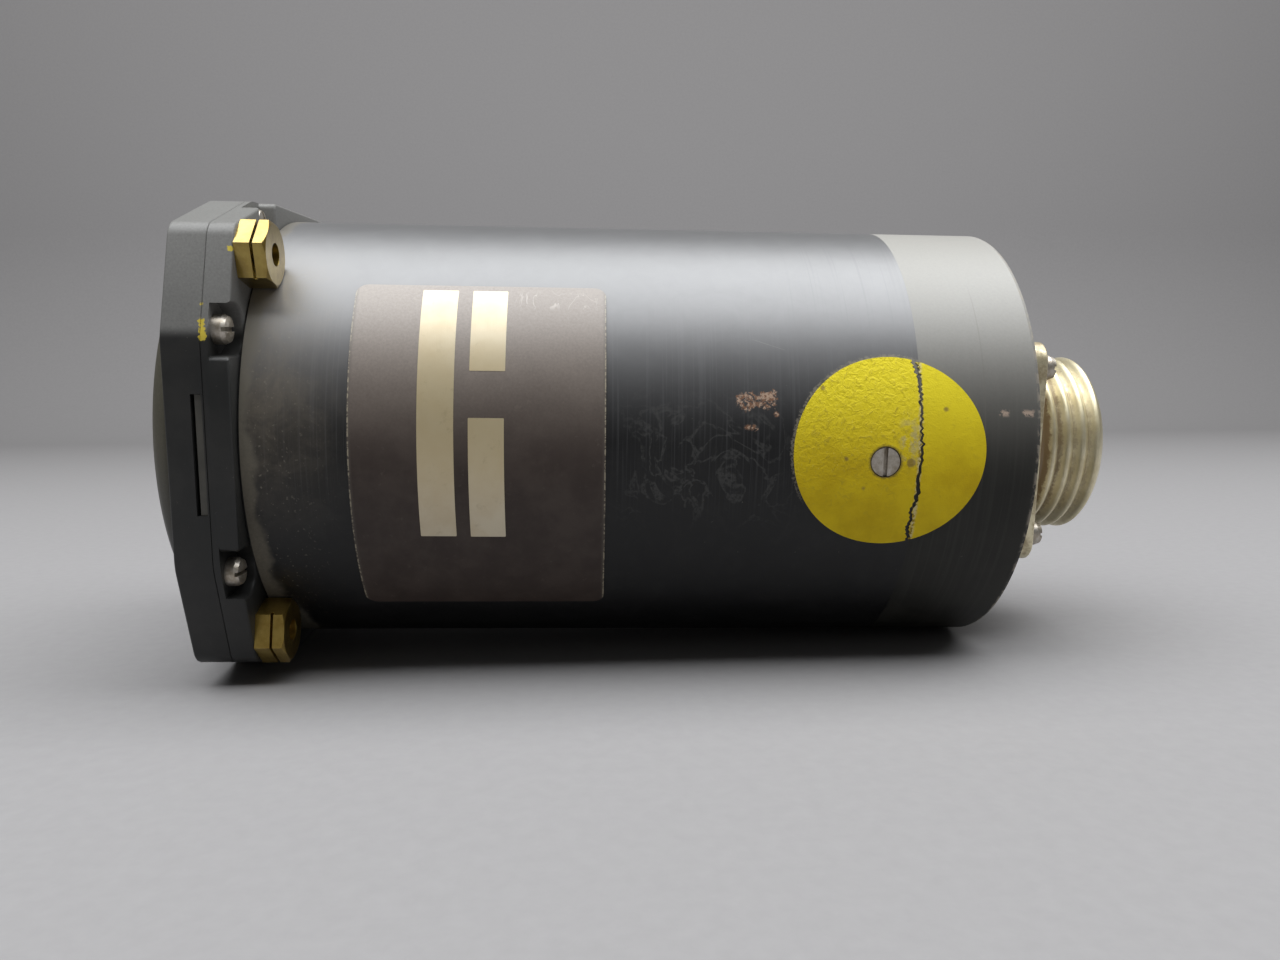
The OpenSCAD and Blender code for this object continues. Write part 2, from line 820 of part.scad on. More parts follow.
// The paper seal over the joint, torn apart along it, with a hole for the cover screw
module inspection_seal() {
    hole_back = (case_r + seal_t) * 2;
    color([0.88, 0.8, 0.1])
        difference() {
            intersection() {
                ring(case_r + seal_t, case_r, cover_screw_x - seal_d, cover_screw_x + seal_d);
                rotate([180 - seal_angle, 0, 0])
                    translate([cover_screw_x + seal_shift, 0, 0])
                        rotate([-90, 0, 0])
                            cylinder(d = seal_d, h = hole_back);
            }
            rotate([180 + cover_screw_angle, 0, 0])
                translate([cover_screw_x, 0, 0])
                    rotate([-90, 0, 0])
                        cylinder(r = cover_head_d / 2 + seal_hole_gap, h = hole_back);
            block(joint_x - tear_w / 2, joint_x + tear_w / 2, case_d * 2, case_d * 2);
        }
}

// Puts its children at the connector's four screws
module at_connector_screws() {
    for (d = diagonals)
        translate([0, d[0] * conn_spacing / 2, d[1] * conn_spacing / 2 - conn_drop])
            children();
}

module connector_gasket() {
    color([0.09, 0.09, 0.09])
        difference() {
            slab(conn_x, conn_flange_x)
                translate([0, -conn_drop])
                    rounded_square(conn_flange_w - gasket_edge, conn_corner_r);
            bar(barrel_r + barrel_gap, conn_x - cut, conn_flange_x + cut, [0, -conn_drop]);
            at_connector_screws()
                bar(conn_shank_d / 2 + slip, conn_x - cut, conn_flange_x + cut);
        }
}

// Shell with its square flange and a coarse rounded coupling thread
module connector_shell() {
    color([0.72, 0.7, 0.62])
        translate([0, 0, -conn_drop])
            difference() {
                union() {
                    slab(conn_flange_x, conn_face_x)
                        rounded_square(conn_flange_w, conn_corner_r);
                    bar(barrel_r, conn_flange_x - conn_back, conn_flange_x + cut);
                    bar(conn_neck_r, conn_face_x - cut, rim_x);
                    axial()
                        rotate_extrude()
                            for (i = [0:thread_count - 1])
                                thread_crest(rim_x - thread_pitch * (i + 0.5));
                }
                bar(insert_r, conn_flange_x - conn_back - cut, socket_x + cut);
                bar(socket_r, socket_x, rim_x + cut);
                translate([socket_x, -key_w / 2, socket_r - key_depth])
                    cube([socket_depth + cut, key_w, key_depth * 2]);
                translate([0, 0, conn_drop])
                    at_connector_screws()
                        bar(conn_shank_d / 2 + slip, conn_flange_x - cut, conn_face_x + cut);
            }
}

// Section of one thread crest, centred at height h
module thread_crest(h) {
    flank = thread_pitch * 0.44;
    polygon([
        [conn_neck_r - 1, h - flank], [conn_neck_r, h - flank],
        [conn_neck_r + thread_depth * 0.7, h - flank * 0.62], [conn_neck_r + thread_depth, h - flank * 0.25],
        [conn_neck_r + thread_depth, h + flank * 0.25], [conn_neck_r + thread_depth * 0.7, h + flank * 0.62],
        [conn_neck_r, h + flank], [conn_neck_r - 1, h + flank]
    ]);
}

// Puts its children on every contact's axis
module at_contacts() {
    for (c = contact_rings, i = [0:c[0] - 1])
        rotate([i * 360 / c[0], 0, 0])
            translate([0, c[1], 0])
                children();
}

module connector_insert() {
    color([0.16, 0.2, 0.16])
        translate([0, 0, -conn_drop])
            difference() {
                bar(insert_r - slip, conn_flange_x - conn_back + insert_back, socket_x);
                at_contacts()
                    bar(contact_d / 2 + slip / 2, conn_flange_x - conn_back, socket_x + cut, $fn = 32);
            }
}

// Socket contacts, each with a solder cup behind the insert
module connector_contacts() {
    color([0.8, 0.68, 0.4])
        translate([0, 0, -conn_drop])
            at_contacts()
                difference() {
                    bar(contact_d / 2, cup_end, socket_x - contact_recess, $fn = 32);
                    bar(contact_bore_d / 2, socket_x - contact_depth, socket_x + cut, $fn = 24);
                }
}

module connector_screws() {
    color([0.68, 0.67, 0.62])
        at_connector_screws()
            slotted_screw(conn_head_d, conn_head_h, conn_shank_d, conn_face_x - conn_shank_len, conn_face_x);
}

// Fixed ring round the card, with the holes that its flag shaft needs
module index_ring() {
    color([0.1, 0.1, 0.1])
        difference() {
            ring(index_r, card_r + index_gap, bezel_t - index_t, bezel_t);
            bar(flag_shaft_d / 2 + run_gap, bezel_t - index_t - cut, bezel_t + cut, flag_centre);
        }
}

module compass_card() {
    color([0.07, 0.07, 0.07])
        ring(card_r, card_shaft_r + slip, card_x, card_x + card_t);
}

// Hollow shaft that carries the card, with the card gear at its rear end
module card_shaft() {
    color([0.7, 0.7, 0.7])
        difference() {
            union() {
                bar(card_shaft_r, card_x - card_boss, card_gear_x + gear_t);
                bar(card_shaft_r + card_hub_w, card_x + card_t, card_x + card_t + card_hub_t);
                gear(main_teeth, card_gear_x, [0, 0], 0);
            }
            bar(card_bore_r, card_x - card_boss - cut, card_gear_x + gear_t + cut);
        }
}

// A needle in Y and Z that points along +Y
module arrow(tip, tail, w, head) {
    polygon([
        [tip, 0], [tip - head, w / 2 + barb], [tip - head, w / 2], [-tail, w / 2],
        [-tail, -w / 2], [tip - head, -w / 2], [tip - head, -w / 2 - barb]
    ]);
}

module single_needle() {
    color([0.95, 0.85, 0.1])
        rotate([90 + single_rest, 0, 0])
            difference() {
                union() {
                    slab(single_x, single_x + needle_t)
                        arrow(single_tip, single_tail, single_w, single_head_len);
                    bar(needle_hub_r, single_x, single_x + needle_t);
                }
                bar(inner_shaft_r + needle_play, single_x - cut, single_x + needle_t + cut);
            }
}

module single_needle_shaft() {
    color([0.75, 0.75, 0.75])
        bar(inner_shaft_r, single_x - shaft_end, synchro_x + shaft_depth);
}

module double_needle() {
    color([0.9, 0.9, 0.88])
        rotate([90 + double_rest, 0, 0])
            difference() {
                union() {
                    slab(double_x, double_x + needle_t)
                        difference() {
                            arrow(double_tip, double_tail, double_w, double_head_len);
                            translate([double_bar_w - double_tail, double_bar_w - double_w / 2])
                                square([double_tail + double_tip - double_head_len - 2 * double_bar_w,
                                    double_w - 2 * double_bar_w]);
                        }
                    bar(double_hub_r, double_x, double_x + needle_t);
                }
                bar(double_shaft_r + needle_play, double_x - cut, double_x + needle_t + cut);
            }
}

module double_needle_shaft() {
    color([0.72, 0.72, 0.72])
        difference() {
            union() {
                bar(double_shaft_r, double_x - shaft_end / 2, double_gear_x + gear_t + shaft_end);
                gear(main_teeth, double_gear_x, [0, 0], 0);
            }
            bar(double_bore_r, double_x - gear_gap, double_gear_x + gear_t + gear_gap);
        }
}

// The flag hangs over the card when the unit has no power, and swings aside when it has
module warning_flag() {
    color([0.85, 0.2, 0.08])
        translate([0, flag_centre[0], flag_centre[1]]) {
            bar(flag_shaft_d / 2, flag_x, plate_x + flag_motor_in);
            rotate([flag_polar + 180, 0, 0])
                slab(flag_x, flag_x + flag_t)
                    union() {
                        circle(r = flag_w / 2);
                        translate([0, -flag_w / 2])
                            square([flag_len, flag_w]);
                    }
        }
}

module flag_motor() {
    back = register_x - flag_body_gap;
    color([0.3, 0.3, 0.32])
        difference() {
            rotate([flag_polar, 0, 0])
                translate([plate_x, flag_at + flag_motor_out - flag_motor_size[0], -flag_motor_size[1] / 2])
                    cube([back - plate_x, flag_motor_size[0], flag_motor_size[1]]);
            bar(flag_shaft_d / 2 + run_gap, plate_x - cut, plate_x + flag_motor_in + flag_gap, flag_centre);
        }
}

// A round frame plate with holes for the tie rods
module frame_disc(x0) {
    difference() {
        bar(frame_r, x0, x0 + frame_t);
        at_rods()
            bar(rod_r + slip, x0 - cut, x0 + frame_t + cut);
        children();
    }
}

module front_frame_plate() {
    x1 = front_plate_x + frame_t + cut;
    color([0.75, 0.76, 0.78])
        frame_disc(front_plate_x) {
            bar(card_shaft_r + bush_r + slip, front_plate_x - cut, x1);
            bar(idler_shaft_r + bush_r + slip, front_plate_x - cut, x1, idler_centre);
        }
}

module middle_frame_plate() {
    x1 = synchro_x + cut;
    color([0.75, 0.76, 0.78])
        frame_disc(middle_plate_x) {
            bar(synchro_boss_r + slip, middle_plate_x - cut, x1);
            bar(synchro_boss_r + slip, middle_plate_x - cut, x1, heading_centre);
            bar(synchro_boss_r + slip, middle_plate_x - cut, x1, double_centre);
            bar(synchro_boss_r + slip, middle_plate_x - cut, x1, servo_centre);
            bar(idler_shaft_r + bush_r + slip, middle_plate_x - cut, x1, idler_centre);
        }
}

module rear_frame_plate() {
    color([0.75, 0.76, 0.78])
        frame_disc(rear_plate_x)
            for (c = [[0, 0], heading_centre, double_centre, servo_centre])
                bar(lead_r + lead_gap, rear_plate_x - cut, rear_plate_end + cut, c);
}

module tie_rods() {
    color([0.66, 0.66, 0.66])
        at_rods()
            difference() {
                bar(rod_r, plate_x - rod_thread, cap_inner_x);
                bar(cap_screw_r + slip, cap_inner_x - cap_screw_len - cap_screw_spare, cap_inner_x + cut);
            }
}

// Tubes on the tie rods that keep the plates and boards apart
module frame_spacers() {
    stations = [plate_x, front_plate_x, front_plate_x + frame_t, middle_plate_x, synchro_x, rear_plate_x,
        rear_plate_end, amp_x, amp_end, supply_x, supply_end, cap_inner_x];
    color([0.7, 0.7, 0.72])
        at_rods()
            for (i = [0:2:len(stations) - 2])
                ring(spacer_r, rod_r + slip, stations[i], stations[i + 1]);
}

// Bronze bushes for the card shaft and both ends of the idler's shaft
module shaft_bushes() {
    color([0.7, 0.5, 0.3]) {
        ring(card_shaft_r + bush_r, card_shaft_r + run_gap, front_plate_x, front_plate_x + frame_t);
        for (x = [front_plate_x, middle_plate_x])
            ring(idler_shaft_r + bush_r, idler_shaft_r + run_gap, x, x + frame_t, idler_centre);
    }
}

// A synchro or servo body with its pilot boss in the middle plate
module synchro_body(at, len, shaft_r) {
    difference() {
        union() {
            bar(synchro_boss_r, middle_plate_x, synchro_x + cut, at);
            bar(synchro_r, synchro_x, synchro_x + len - synchro_step, at);
            bar(synchro_r - synchro_step_w, synchro_x, synchro_x + len, at);
        }
        bar(shaft_r + run_gap, middle_plate_x - cut, synchro_x + shaft_depth + bore_spare, at);
    }
}

module heading_synchro() {
    color([0.55, 0.56, 0.58])
        synchro_body(heading_centre, synchro_len, small_shaft_r);
}

module single_needle_synchro() {
    color([0.55, 0.56, 0.58])
        synchro_body([0, 0], synchro_len, inner_shaft_r);
}

module double_needle_synchro() {
    color([0.55, 0.56, 0.58])
        synchro_body(double_centre, synchro_len, small_shaft_r);
}

module servo_motor() {
    color([0.4, 0.41, 0.43])
        synchro_body(servo_centre, servo_len, small_shaft_r);
}

// A gear on the end of a synchro's or motor's shaft
module shaft_gear(teeth, x0, at, turn) {
    gear(teeth, x0, at, turn);
    bar(small_shaft_r, x0 - gear_boss, synchro_x + shaft_depth, at);
}

module heading_synchro_gear() {
    color([0.8, 0.7, 0.4])
        shaft_gear(main_teeth, card_gear_x, heading_centre, heading_turn);
}

module double_synchro_gear() {
    color([0.8, 0.7, 0.4])
        shaft_gear(main_teeth, double_gear_x, double_centre, double_turn);
}

module servo_pinion() {
    color([0.7, 0.7, 0.7])
        shaft_gear(pinion_teeth, servo_gear_x, servo_centre, pinion_turn);
}

// Small and large gear on one shaft, between the servo pinion and the card gear
module idler_gears() {
    color([0.8, 0.7, 0.4]) {
        gear(idler_small_teeth, card_gear_x, idler_centre, idler_small_turn);
        gear(idler_large_teeth, servo_gear_x, idler_centre, 0);
        bar(idler_hub_r, card_gear_x - gear_boss, double_gear_x - gear_boss, idler_centre);
        bar(idler_shaft_r, front_plate_x + shaft_end, synchro_x - shaft_end, idler_centre);
    }
}

// A round circuit board on the tie rods
module round_board(x0) {
    difference() {
        bar(board_r, x0, x0 + board_t);
        at_rods()
            bar(rod_r + slip, x0 - cut, x0 + board_t + cut);
        children();
    }
}

module amplifier_board() {
    color([0.35, 0.3, 0.12])
        round_board(amp_x);
}

module supply_board() {
    color([0.35, 0.3, 0.12])
        round_board(supply_x);
}

// Cans and capacitors that stand on the amplifier board
module amplifier_parts() {
    color([0.6, 0.55, 0.5]) {
        for (a = [60:60:360])
            bar(can_r, amp_end, amp_end + can_h, polar(can_at, a));
        for (a = [90, 210, 330])
            bar(coil_r, amp_end, amp_end + coil_h, polar(coil_at, a));
        for (s = [-1, 1])
            block(amp_x - trimmer_size[0], amp_x, trimmer_size[1], trimmer_size[2],
                [s * trimmer_at[0], trimmer_at[1]]);
    }
}

module supply_transformer() {
    color([0.5, 0.42, 0.3])
        block(supply_end, supply_end + transformer_size[0], transformer_size[1], transformer_size[2],
            [transformer_at, 0]);
}

// Leads from each synchro to the amplifier board, and from the supply board to the connector
module wiring_loom() {
    color([0.85, 0.82, 0.75]) {
        for (c = [[0, 0], heading_centre, double_centre])
            bar(lead_r, synchro_end, amp_x, c, $fn = 24);
        bar(lead_r, servo_end, amp_x, servo_centre, $fn = 24);
        for (a = [120, 240])
            bar(trunk_r, supply_end, cup_end, polar(trunk_at, a) - [0, conn_drop], $fn = 32);
        for (a = [60, 180, 300])
            bar(lead_r, amp_end, supply_x, polar(link_at, a), $fn = 24);
    }
}

front_bezel();
cover_glass();
glass_gasket();
snap_ring();
lamp_tray();
lamps();
mounting_plate();
mounting_nuts();
flange_screws();
case_gasket();
cover_tube();
rear_cap();
cover_screws();
cap_screws();
data_plate();
inspection_seal();
connector_gasket();
connector_shell();
connector_insert();
connector_contacts();
connector_screws();
index_ring();
compass_card();
card_shaft();
single_needle();
single_needle_shaft();
double_needle();
double_needle_shaft();
warning_flag();
flag_motor();
front_frame_plate();
middle_frame_plate();
rear_frame_plate();
tie_rods();
frame_spacers();
shaft_bushes();
heading_synchro();
heading_synchro_gear();
single_needle_synchro();
double_needle_synchro();
double_synchro_gear();
servo_motor();
servo_pinion();
idler_gears();
amplifier_board();
amplifier_parts();
supply_board();
supply_transformer();
wiring_loom();
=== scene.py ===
"""Looks for the panel-mounted radio magnetic indicator, lying on its side on a pale floor."""

import json
import math

import bmesh
import bpy
from mathutils import Matrix, Vector


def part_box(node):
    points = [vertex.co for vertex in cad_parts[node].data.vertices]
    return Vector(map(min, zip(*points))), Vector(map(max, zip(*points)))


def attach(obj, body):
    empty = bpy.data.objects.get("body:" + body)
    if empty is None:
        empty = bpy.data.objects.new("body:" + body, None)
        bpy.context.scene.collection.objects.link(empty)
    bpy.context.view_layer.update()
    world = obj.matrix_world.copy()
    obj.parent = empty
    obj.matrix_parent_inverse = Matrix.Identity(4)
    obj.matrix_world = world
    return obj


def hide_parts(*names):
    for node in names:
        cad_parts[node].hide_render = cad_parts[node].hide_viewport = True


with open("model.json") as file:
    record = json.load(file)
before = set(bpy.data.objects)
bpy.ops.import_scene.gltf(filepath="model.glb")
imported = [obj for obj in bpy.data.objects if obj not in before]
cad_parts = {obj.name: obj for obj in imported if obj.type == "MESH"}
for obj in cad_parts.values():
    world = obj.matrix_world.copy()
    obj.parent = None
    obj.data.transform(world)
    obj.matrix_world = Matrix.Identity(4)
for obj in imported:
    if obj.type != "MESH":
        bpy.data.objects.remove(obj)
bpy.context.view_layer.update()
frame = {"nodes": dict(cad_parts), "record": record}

MM = 0.001

# Camera, fitted to the photograph: millimetres and radians in a level frame whose X is the case's axis
FOCAL_PX = 944.42
IMAGE_W = 1280
SENSOR_W = 36
CAMERA_AT = (50.292, -191.318, 9.865)
CAMERA_YAW = -0.0563
CAMERA_PITCH = -0.1035
CAMERA_ROLL = -0.0120
CASE_ROLL = 0.0587          # the case lies rolled by this much about its axis
LEVEL_X = 15.02             # where the level frame's origin is on the case's axis

# Where the flange and the cap touch the floor, in the level frame: X, and depth below the axis
FLANGE_TOUCH = (-5.4, 42.3)
CAP_TOUCH = (125, 39.5)

# The part's own sizes, as in its source: the flange
FLANGE_R = 41.275
SIDE_HALF = 18.2
CORNER_AT = 35.7
BEZEL_T = 6.1
PLATE_X = 10.2
PLATE_BORE_R = 29.0
REGISTER_R = 37.8
REGISTER_IN_R = 34.6
REGISTER_X = 15.1
HOLE_AT = 31.435
HOLE_R = 1.9
FERRULE_R = 2.85
FERRULE_LEN = 2.4
SCREW_A = 37.475
SCREW_B = 19.5
SCREW_HOLE_R = 1.45
SCREW_END_X = 1.6
POCKET_R = 4.05
POCKET_X = 7.2
SLOT_X = (4.15, 5.85)
SLOT_HALF = 9.6
SLOT_DEPTH = 5.975

# The ring and the glass
RING_R = 38.9
RING_H = 4.0
RING_LAND = 1.3
RING_SLOPE = 2.2
APERTURE_R = 31.0
LIP_FRONT_W = 2.4
LIP_X = -1.4
RECESS_R = 34.5
SNAP_X = 1.4
SNAP_W = 1.0
SNAP_GROOVE = 0.5

# The case, the data plate and the seal
CASE_R = 39.5
PER_DEGREE = math.radians(1) * CASE_R       # length along the case's surface
LABEL_X = (27.3, 68.3)
LABEL_ANGLES = (-43.0, 43.0)
SEAL_CENTRE = (114.9, 1.5)
SEAL_R = 16.0
SCREW_HOLE = (114.2, -0.6)

# The connector
CONN_DROP = -1.5
CONN_FLANGE_X = (146.4, 149.6)
CONN_W = 41.3
CONN_CORNER_R = 4.0
CONN_SCREW_AT = 15.875
CONN_BACK = 7
CONN_RIM_X = 163.9
CONN_CREST_R = 17.45
CONN_ROOT_R = 16.15
THREAD_PITCH = 2.9
THREAD_COUNT = 4
SOCKET_R = 14.3
SOCKET_X = 154.2

# The dial
CARD_X = 5.05
INDEX_X = 4.9

# Rounded edges, the sheets, and the dial's marks and numbers
FOLD_R = 9
CORNER_R = 3.6
FACE_EDGE = 0.45
PARTING_EDGE = 0.22
GLASS_CLEAR = 0.03
GLASS_BEVEL = 0.25
LABEL_T = 0.25
LABEL_CORNER = 2.0
# The windows in the data plate: X, then degrees round the case, each from and to
WINDOWS = ((38.2, 44.0, -19.9, 41.4), (46.4, 52.1, 19.9, 41.4), (46.3, 52.0, -20.0, 8.9))
WINDOW_R = (CASE_R + 0.2, CASE_R + 0.28)
WINDOW_CORNER = 0.15
SEAL_T = 0.15
SEAL_HOLE_R = 2.55
MARK_T = 0.06
MARK_END_R = 26.3
LONG_MARK = (23.4, 0.55)    # inner radius and width
SHORT_MARK = (24.9, 0.35)
NUMBER_R = 20.4
NUMBER_SIZE = 4.6
NUMBER_T = 0.03

# The seal's tear, from top to bottom: (degrees round the case, X) and (degrees, width)
TEAR = ((24.5, 118.9), (21.5, 119.35), (18.6, 119.75), (16.8, 119.65), (15.2, 119.9), (13.0, 119.8),
        (11.8, 120.05), (8.5, 119.85), (5.2, 120.05), (1.8, 120.2), (-1.5, 120.1), (-5.0, 119.75),
        (-7.2, 120.05), (-10.1, 119.8), (-12.6, 119.3), (-15.4, 119.35), (-17.6, 119.05), (-19.6, 119.45),
        (-25, 119.2), (-30, 119.3))
TEAR_GAP = ((24.5, 1.0), (17, 0.6), (8, 0.35), (0, 0.5), (-9, 0.75), (-14, 0.5), (-19, 0.75), (-22, 0.35),
            (-30, 0.6))

# How strongly the black finishes shine, and the heights below and above which their sheen is gone or whole
BLACK_IOR = 1.6
SHEEN_Z = (-3, 22)


# Geometry

def link(obj):
    bpy.context.scene.collection.objects.link(obj)
    return obj


def mesh_object(name, verts, faces):
    """A closed mesh from points in millimetres."""
    mesh = bpy.data.meshes.new(name)
    mesh.from_pydata([(x * MM, y * MM, z * MM) for x, y, z in verts], [], faces)
    work = bmesh.new()
    work.from_mesh(mesh)
    bmesh.ops.recalc_face_normals(work, faces=work.faces)
    work.to_mesh(mesh)
    work.free()
    return link(bpy.data.objects.new(name, mesh))


def loft(name, rings, around=False):
    """Skin through rings of equally many points; around joins the last ring to the first."""
    n = len(rings[0])
    verts = [p for ring in rings for p in ring]
    faces = []
    spans = len(rings) if around else len(rings) - 1
    for i in range(spans):
        a, b = i * n, (i + 1) % len(rings) * n
        for k in range(n):
            m = (k + 1) % n
            faces.append((a + k, a + m, b + m, b + k))
    if not around:
        faces.append(tuple(range(n)))
        faces.append(tuple(range((len(rings) - 1) * n, len(rings) * n)))
    return mesh_object(name, verts, faces)


def circle(x, r, n, y=0.0, z=0.0):
    turns = [2 * math.pi * k / n for k in range(n)]
    return [(x, y + r * math.cos(a), z + r * math.sin(a)) for a in turns]


def turned(name, profile, n=96):
    """A ring turned from a closed section of (x, radius) points."""
    return loft(name, [circle(x, r, n) for x, r in profile], around=True)


def bar(name, r, x0, x1, y=0.0, z=0.0, n=48):
    return loft(name, [circle(x0, r, n, y, z), circle(x1, r, n, y, z)])


def block(name, x, y, z):
    """A box between the pairs x, y and z, for cutting."""
    rings = [[(a, y[0], z[0]), (a, y[1], z[0]), (a, y[1], z[1]), (a, y[0], z[1])] for a in x]
    return loft(name, rings)


def offset(points, d):
    """A convex outline's lines moved inwards by d."""
    n = len(points)
    lines = []
    for k in range(n):
        (ay, az), (by, bz) = points[k], points[(k + 1) % n]
        length = math.hypot(by - ay, bz - az)
        ny, nz = (az - bz) / length, (by - ay) / length
        lines.append((ny, nz, ny * ay + nz * az + d))
    moved = []
    for k in range(n):
        (a, b, c), (e, f, g) = lines[k - 1], lines[k]
        det = a * f - b * e
        moved.append(((c * f - b * g) / det, (a * g - c * e) / det))
    return moved


def rounded(points, radii, steps=6):
    """A convex outline, counted anticlockwise, with an arc at each corner."""
    n = len(points)
    made = []
    for k in range(n):
        p = Vector(points[k])
        back = (Vector(points[k - 1]) - p).normalized()
        ahead = (Vector(points[(k + 1) % n]) - p).normalized()
        half = back.angle(ahead) / 2
        reach = radii[k] / math.tan(half)
        start, end = p + back * reach, p + ahead * reach
        centre = p + (back + ahead).normalized() * radii[k] / math.sin(half)
        a0, a1 = start - centre, end - centre
        for i in range(steps + 1):
            v = a0.lerp(a1, i / steps).normalized() * radii[k]
            made.append(tuple(centre + v))
    return made


def rounded_slab(name, points, radii, x0, x1, front, rear, steps=5):
    """An outline in Y and Z from x0 to x1, with its front and rear edges rounded."""
    sharpest = 0.05
    stations = []
    for i in range(steps + 1):
        a = math.pi / 2 * i / steps
        stations.append((x0 + front * (1 - math.cos(a)), front * (1 - math.sin(a))))
    for i in range(steps, -1, -1):
        a = math.pi / 2 * i / steps
        stations.append((x1 - rear * (1 - math.cos(a)), rear * (1 - math.sin(a))))
    rings = []
    for x, d in stations:
        ring = rounded(offset(points, d), [max(r - d, sharpest) for r in radii])
        rings.append([(x, y, z) for y, z in ring])
    return loft(name, rings)


def evaluated_mesh(obj):
    bpy.context.view_layer.update()
    return bpy.data.meshes.new_from_object(obj.evaluated_get(bpy.context.evaluated_depsgraph_get()))


def combine(obj, others, operation="DIFFERENCE"):
    """Joins or cuts obj with the others, which are used up."""
    for other in others:
        mod = obj.modifiers.new("shape", "BOOLEAN")
        mod.operation = operation
        mod.solver = "EXACT"
        mod.object = other
    shape = evaluated_mesh(obj)
    obj.modifiers.clear()
    spare = obj.data
    obj.data = shape
    bpy.data.meshes.remove(spare)
    for other in others:
        mesh = other.data
        bpy.data.objects.remove(other)
        bpy.data.meshes.remove(mesh)


def finished(obj, body, material, replaces=(), sharp=32):
    """Shades a new piece, gives it its material and lets it ride on its body."""
    obj.data.shade_smooth()
    obj.data.set_sharp_from_angle(angle=math.radians(sharp))
    obj.data.materials.clear()
    obj.data.materials.append(material)
    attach(obj, body)
    if replaces:
        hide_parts(*replaces)


def on_case(x, angle, r):
    """A point on the case at an angle in degrees above the side that faces the camera."""
    a = math.radians(angle)
    return (x, -r * math.cos(a), r * math.sin(a))


def curved_patch(name, stations, r0, r1, across=10):
    """A thin sheet bent round the case: stations are (angle, x0, x1)."""
    verts, faces = [], []
    row = across + 1
    for r in (r1, r0):
        for angle, x0, x1 in stations:
            for k in range(row):
                verts.append(on_case(x0 + (x1 - x0) * k / across, angle, r))
    rows = len(stations)
    low = rows * row
    for i in range(rows - 1):
        for k in range(across):
            a = i * row + k
            faces.append((a, a + 1, a + row + 1, a + row))
            faces.append((low + a + row, low + a + row + 1, low + a + 1, low + a))
    for i in range(rows - 1):
        for k in (0, across):
            a = i * row + k
            faces.append((a, a + row, low + a + row, low + a))
    for i in (0, rows - 1):
        for k in range(across):
            a = i * row + k
            faces.append((a, a + 1, low + a + 1, low + a))
    return mesh_object(name, verts, faces)


def rounded_stations(x0, x1, a0, a1, corner, step=2.0, steps=6):
    """Stations of a bent rectangle with rounded corners; corner is in millimetres."""
    span = corner / PER_DEGREE
    rounding = [span * (1 - math.cos(math.pi / 2 * i / steps)) for i in range(steps + 1)]
    straight = a1 - a0 - 2 * span
    count = max(2, round(straight / step))
    angles = [a0 + a for a in rounding]
    angles += [a0 + span + straight * i / count for i in range(1, count)]
    angles += [a1 - a for a in reversed(rounding)]
    made = []
    for a in angles:
        near = min(a - a0, a1 - a) * PER_DEGREE
        inset = corner - math.sqrt(max(0.0, corner ** 2 - max(0.0, corner - near) ** 2))
        made.append((a, x0 + inset, x1 - inset))
    return made


# Materials

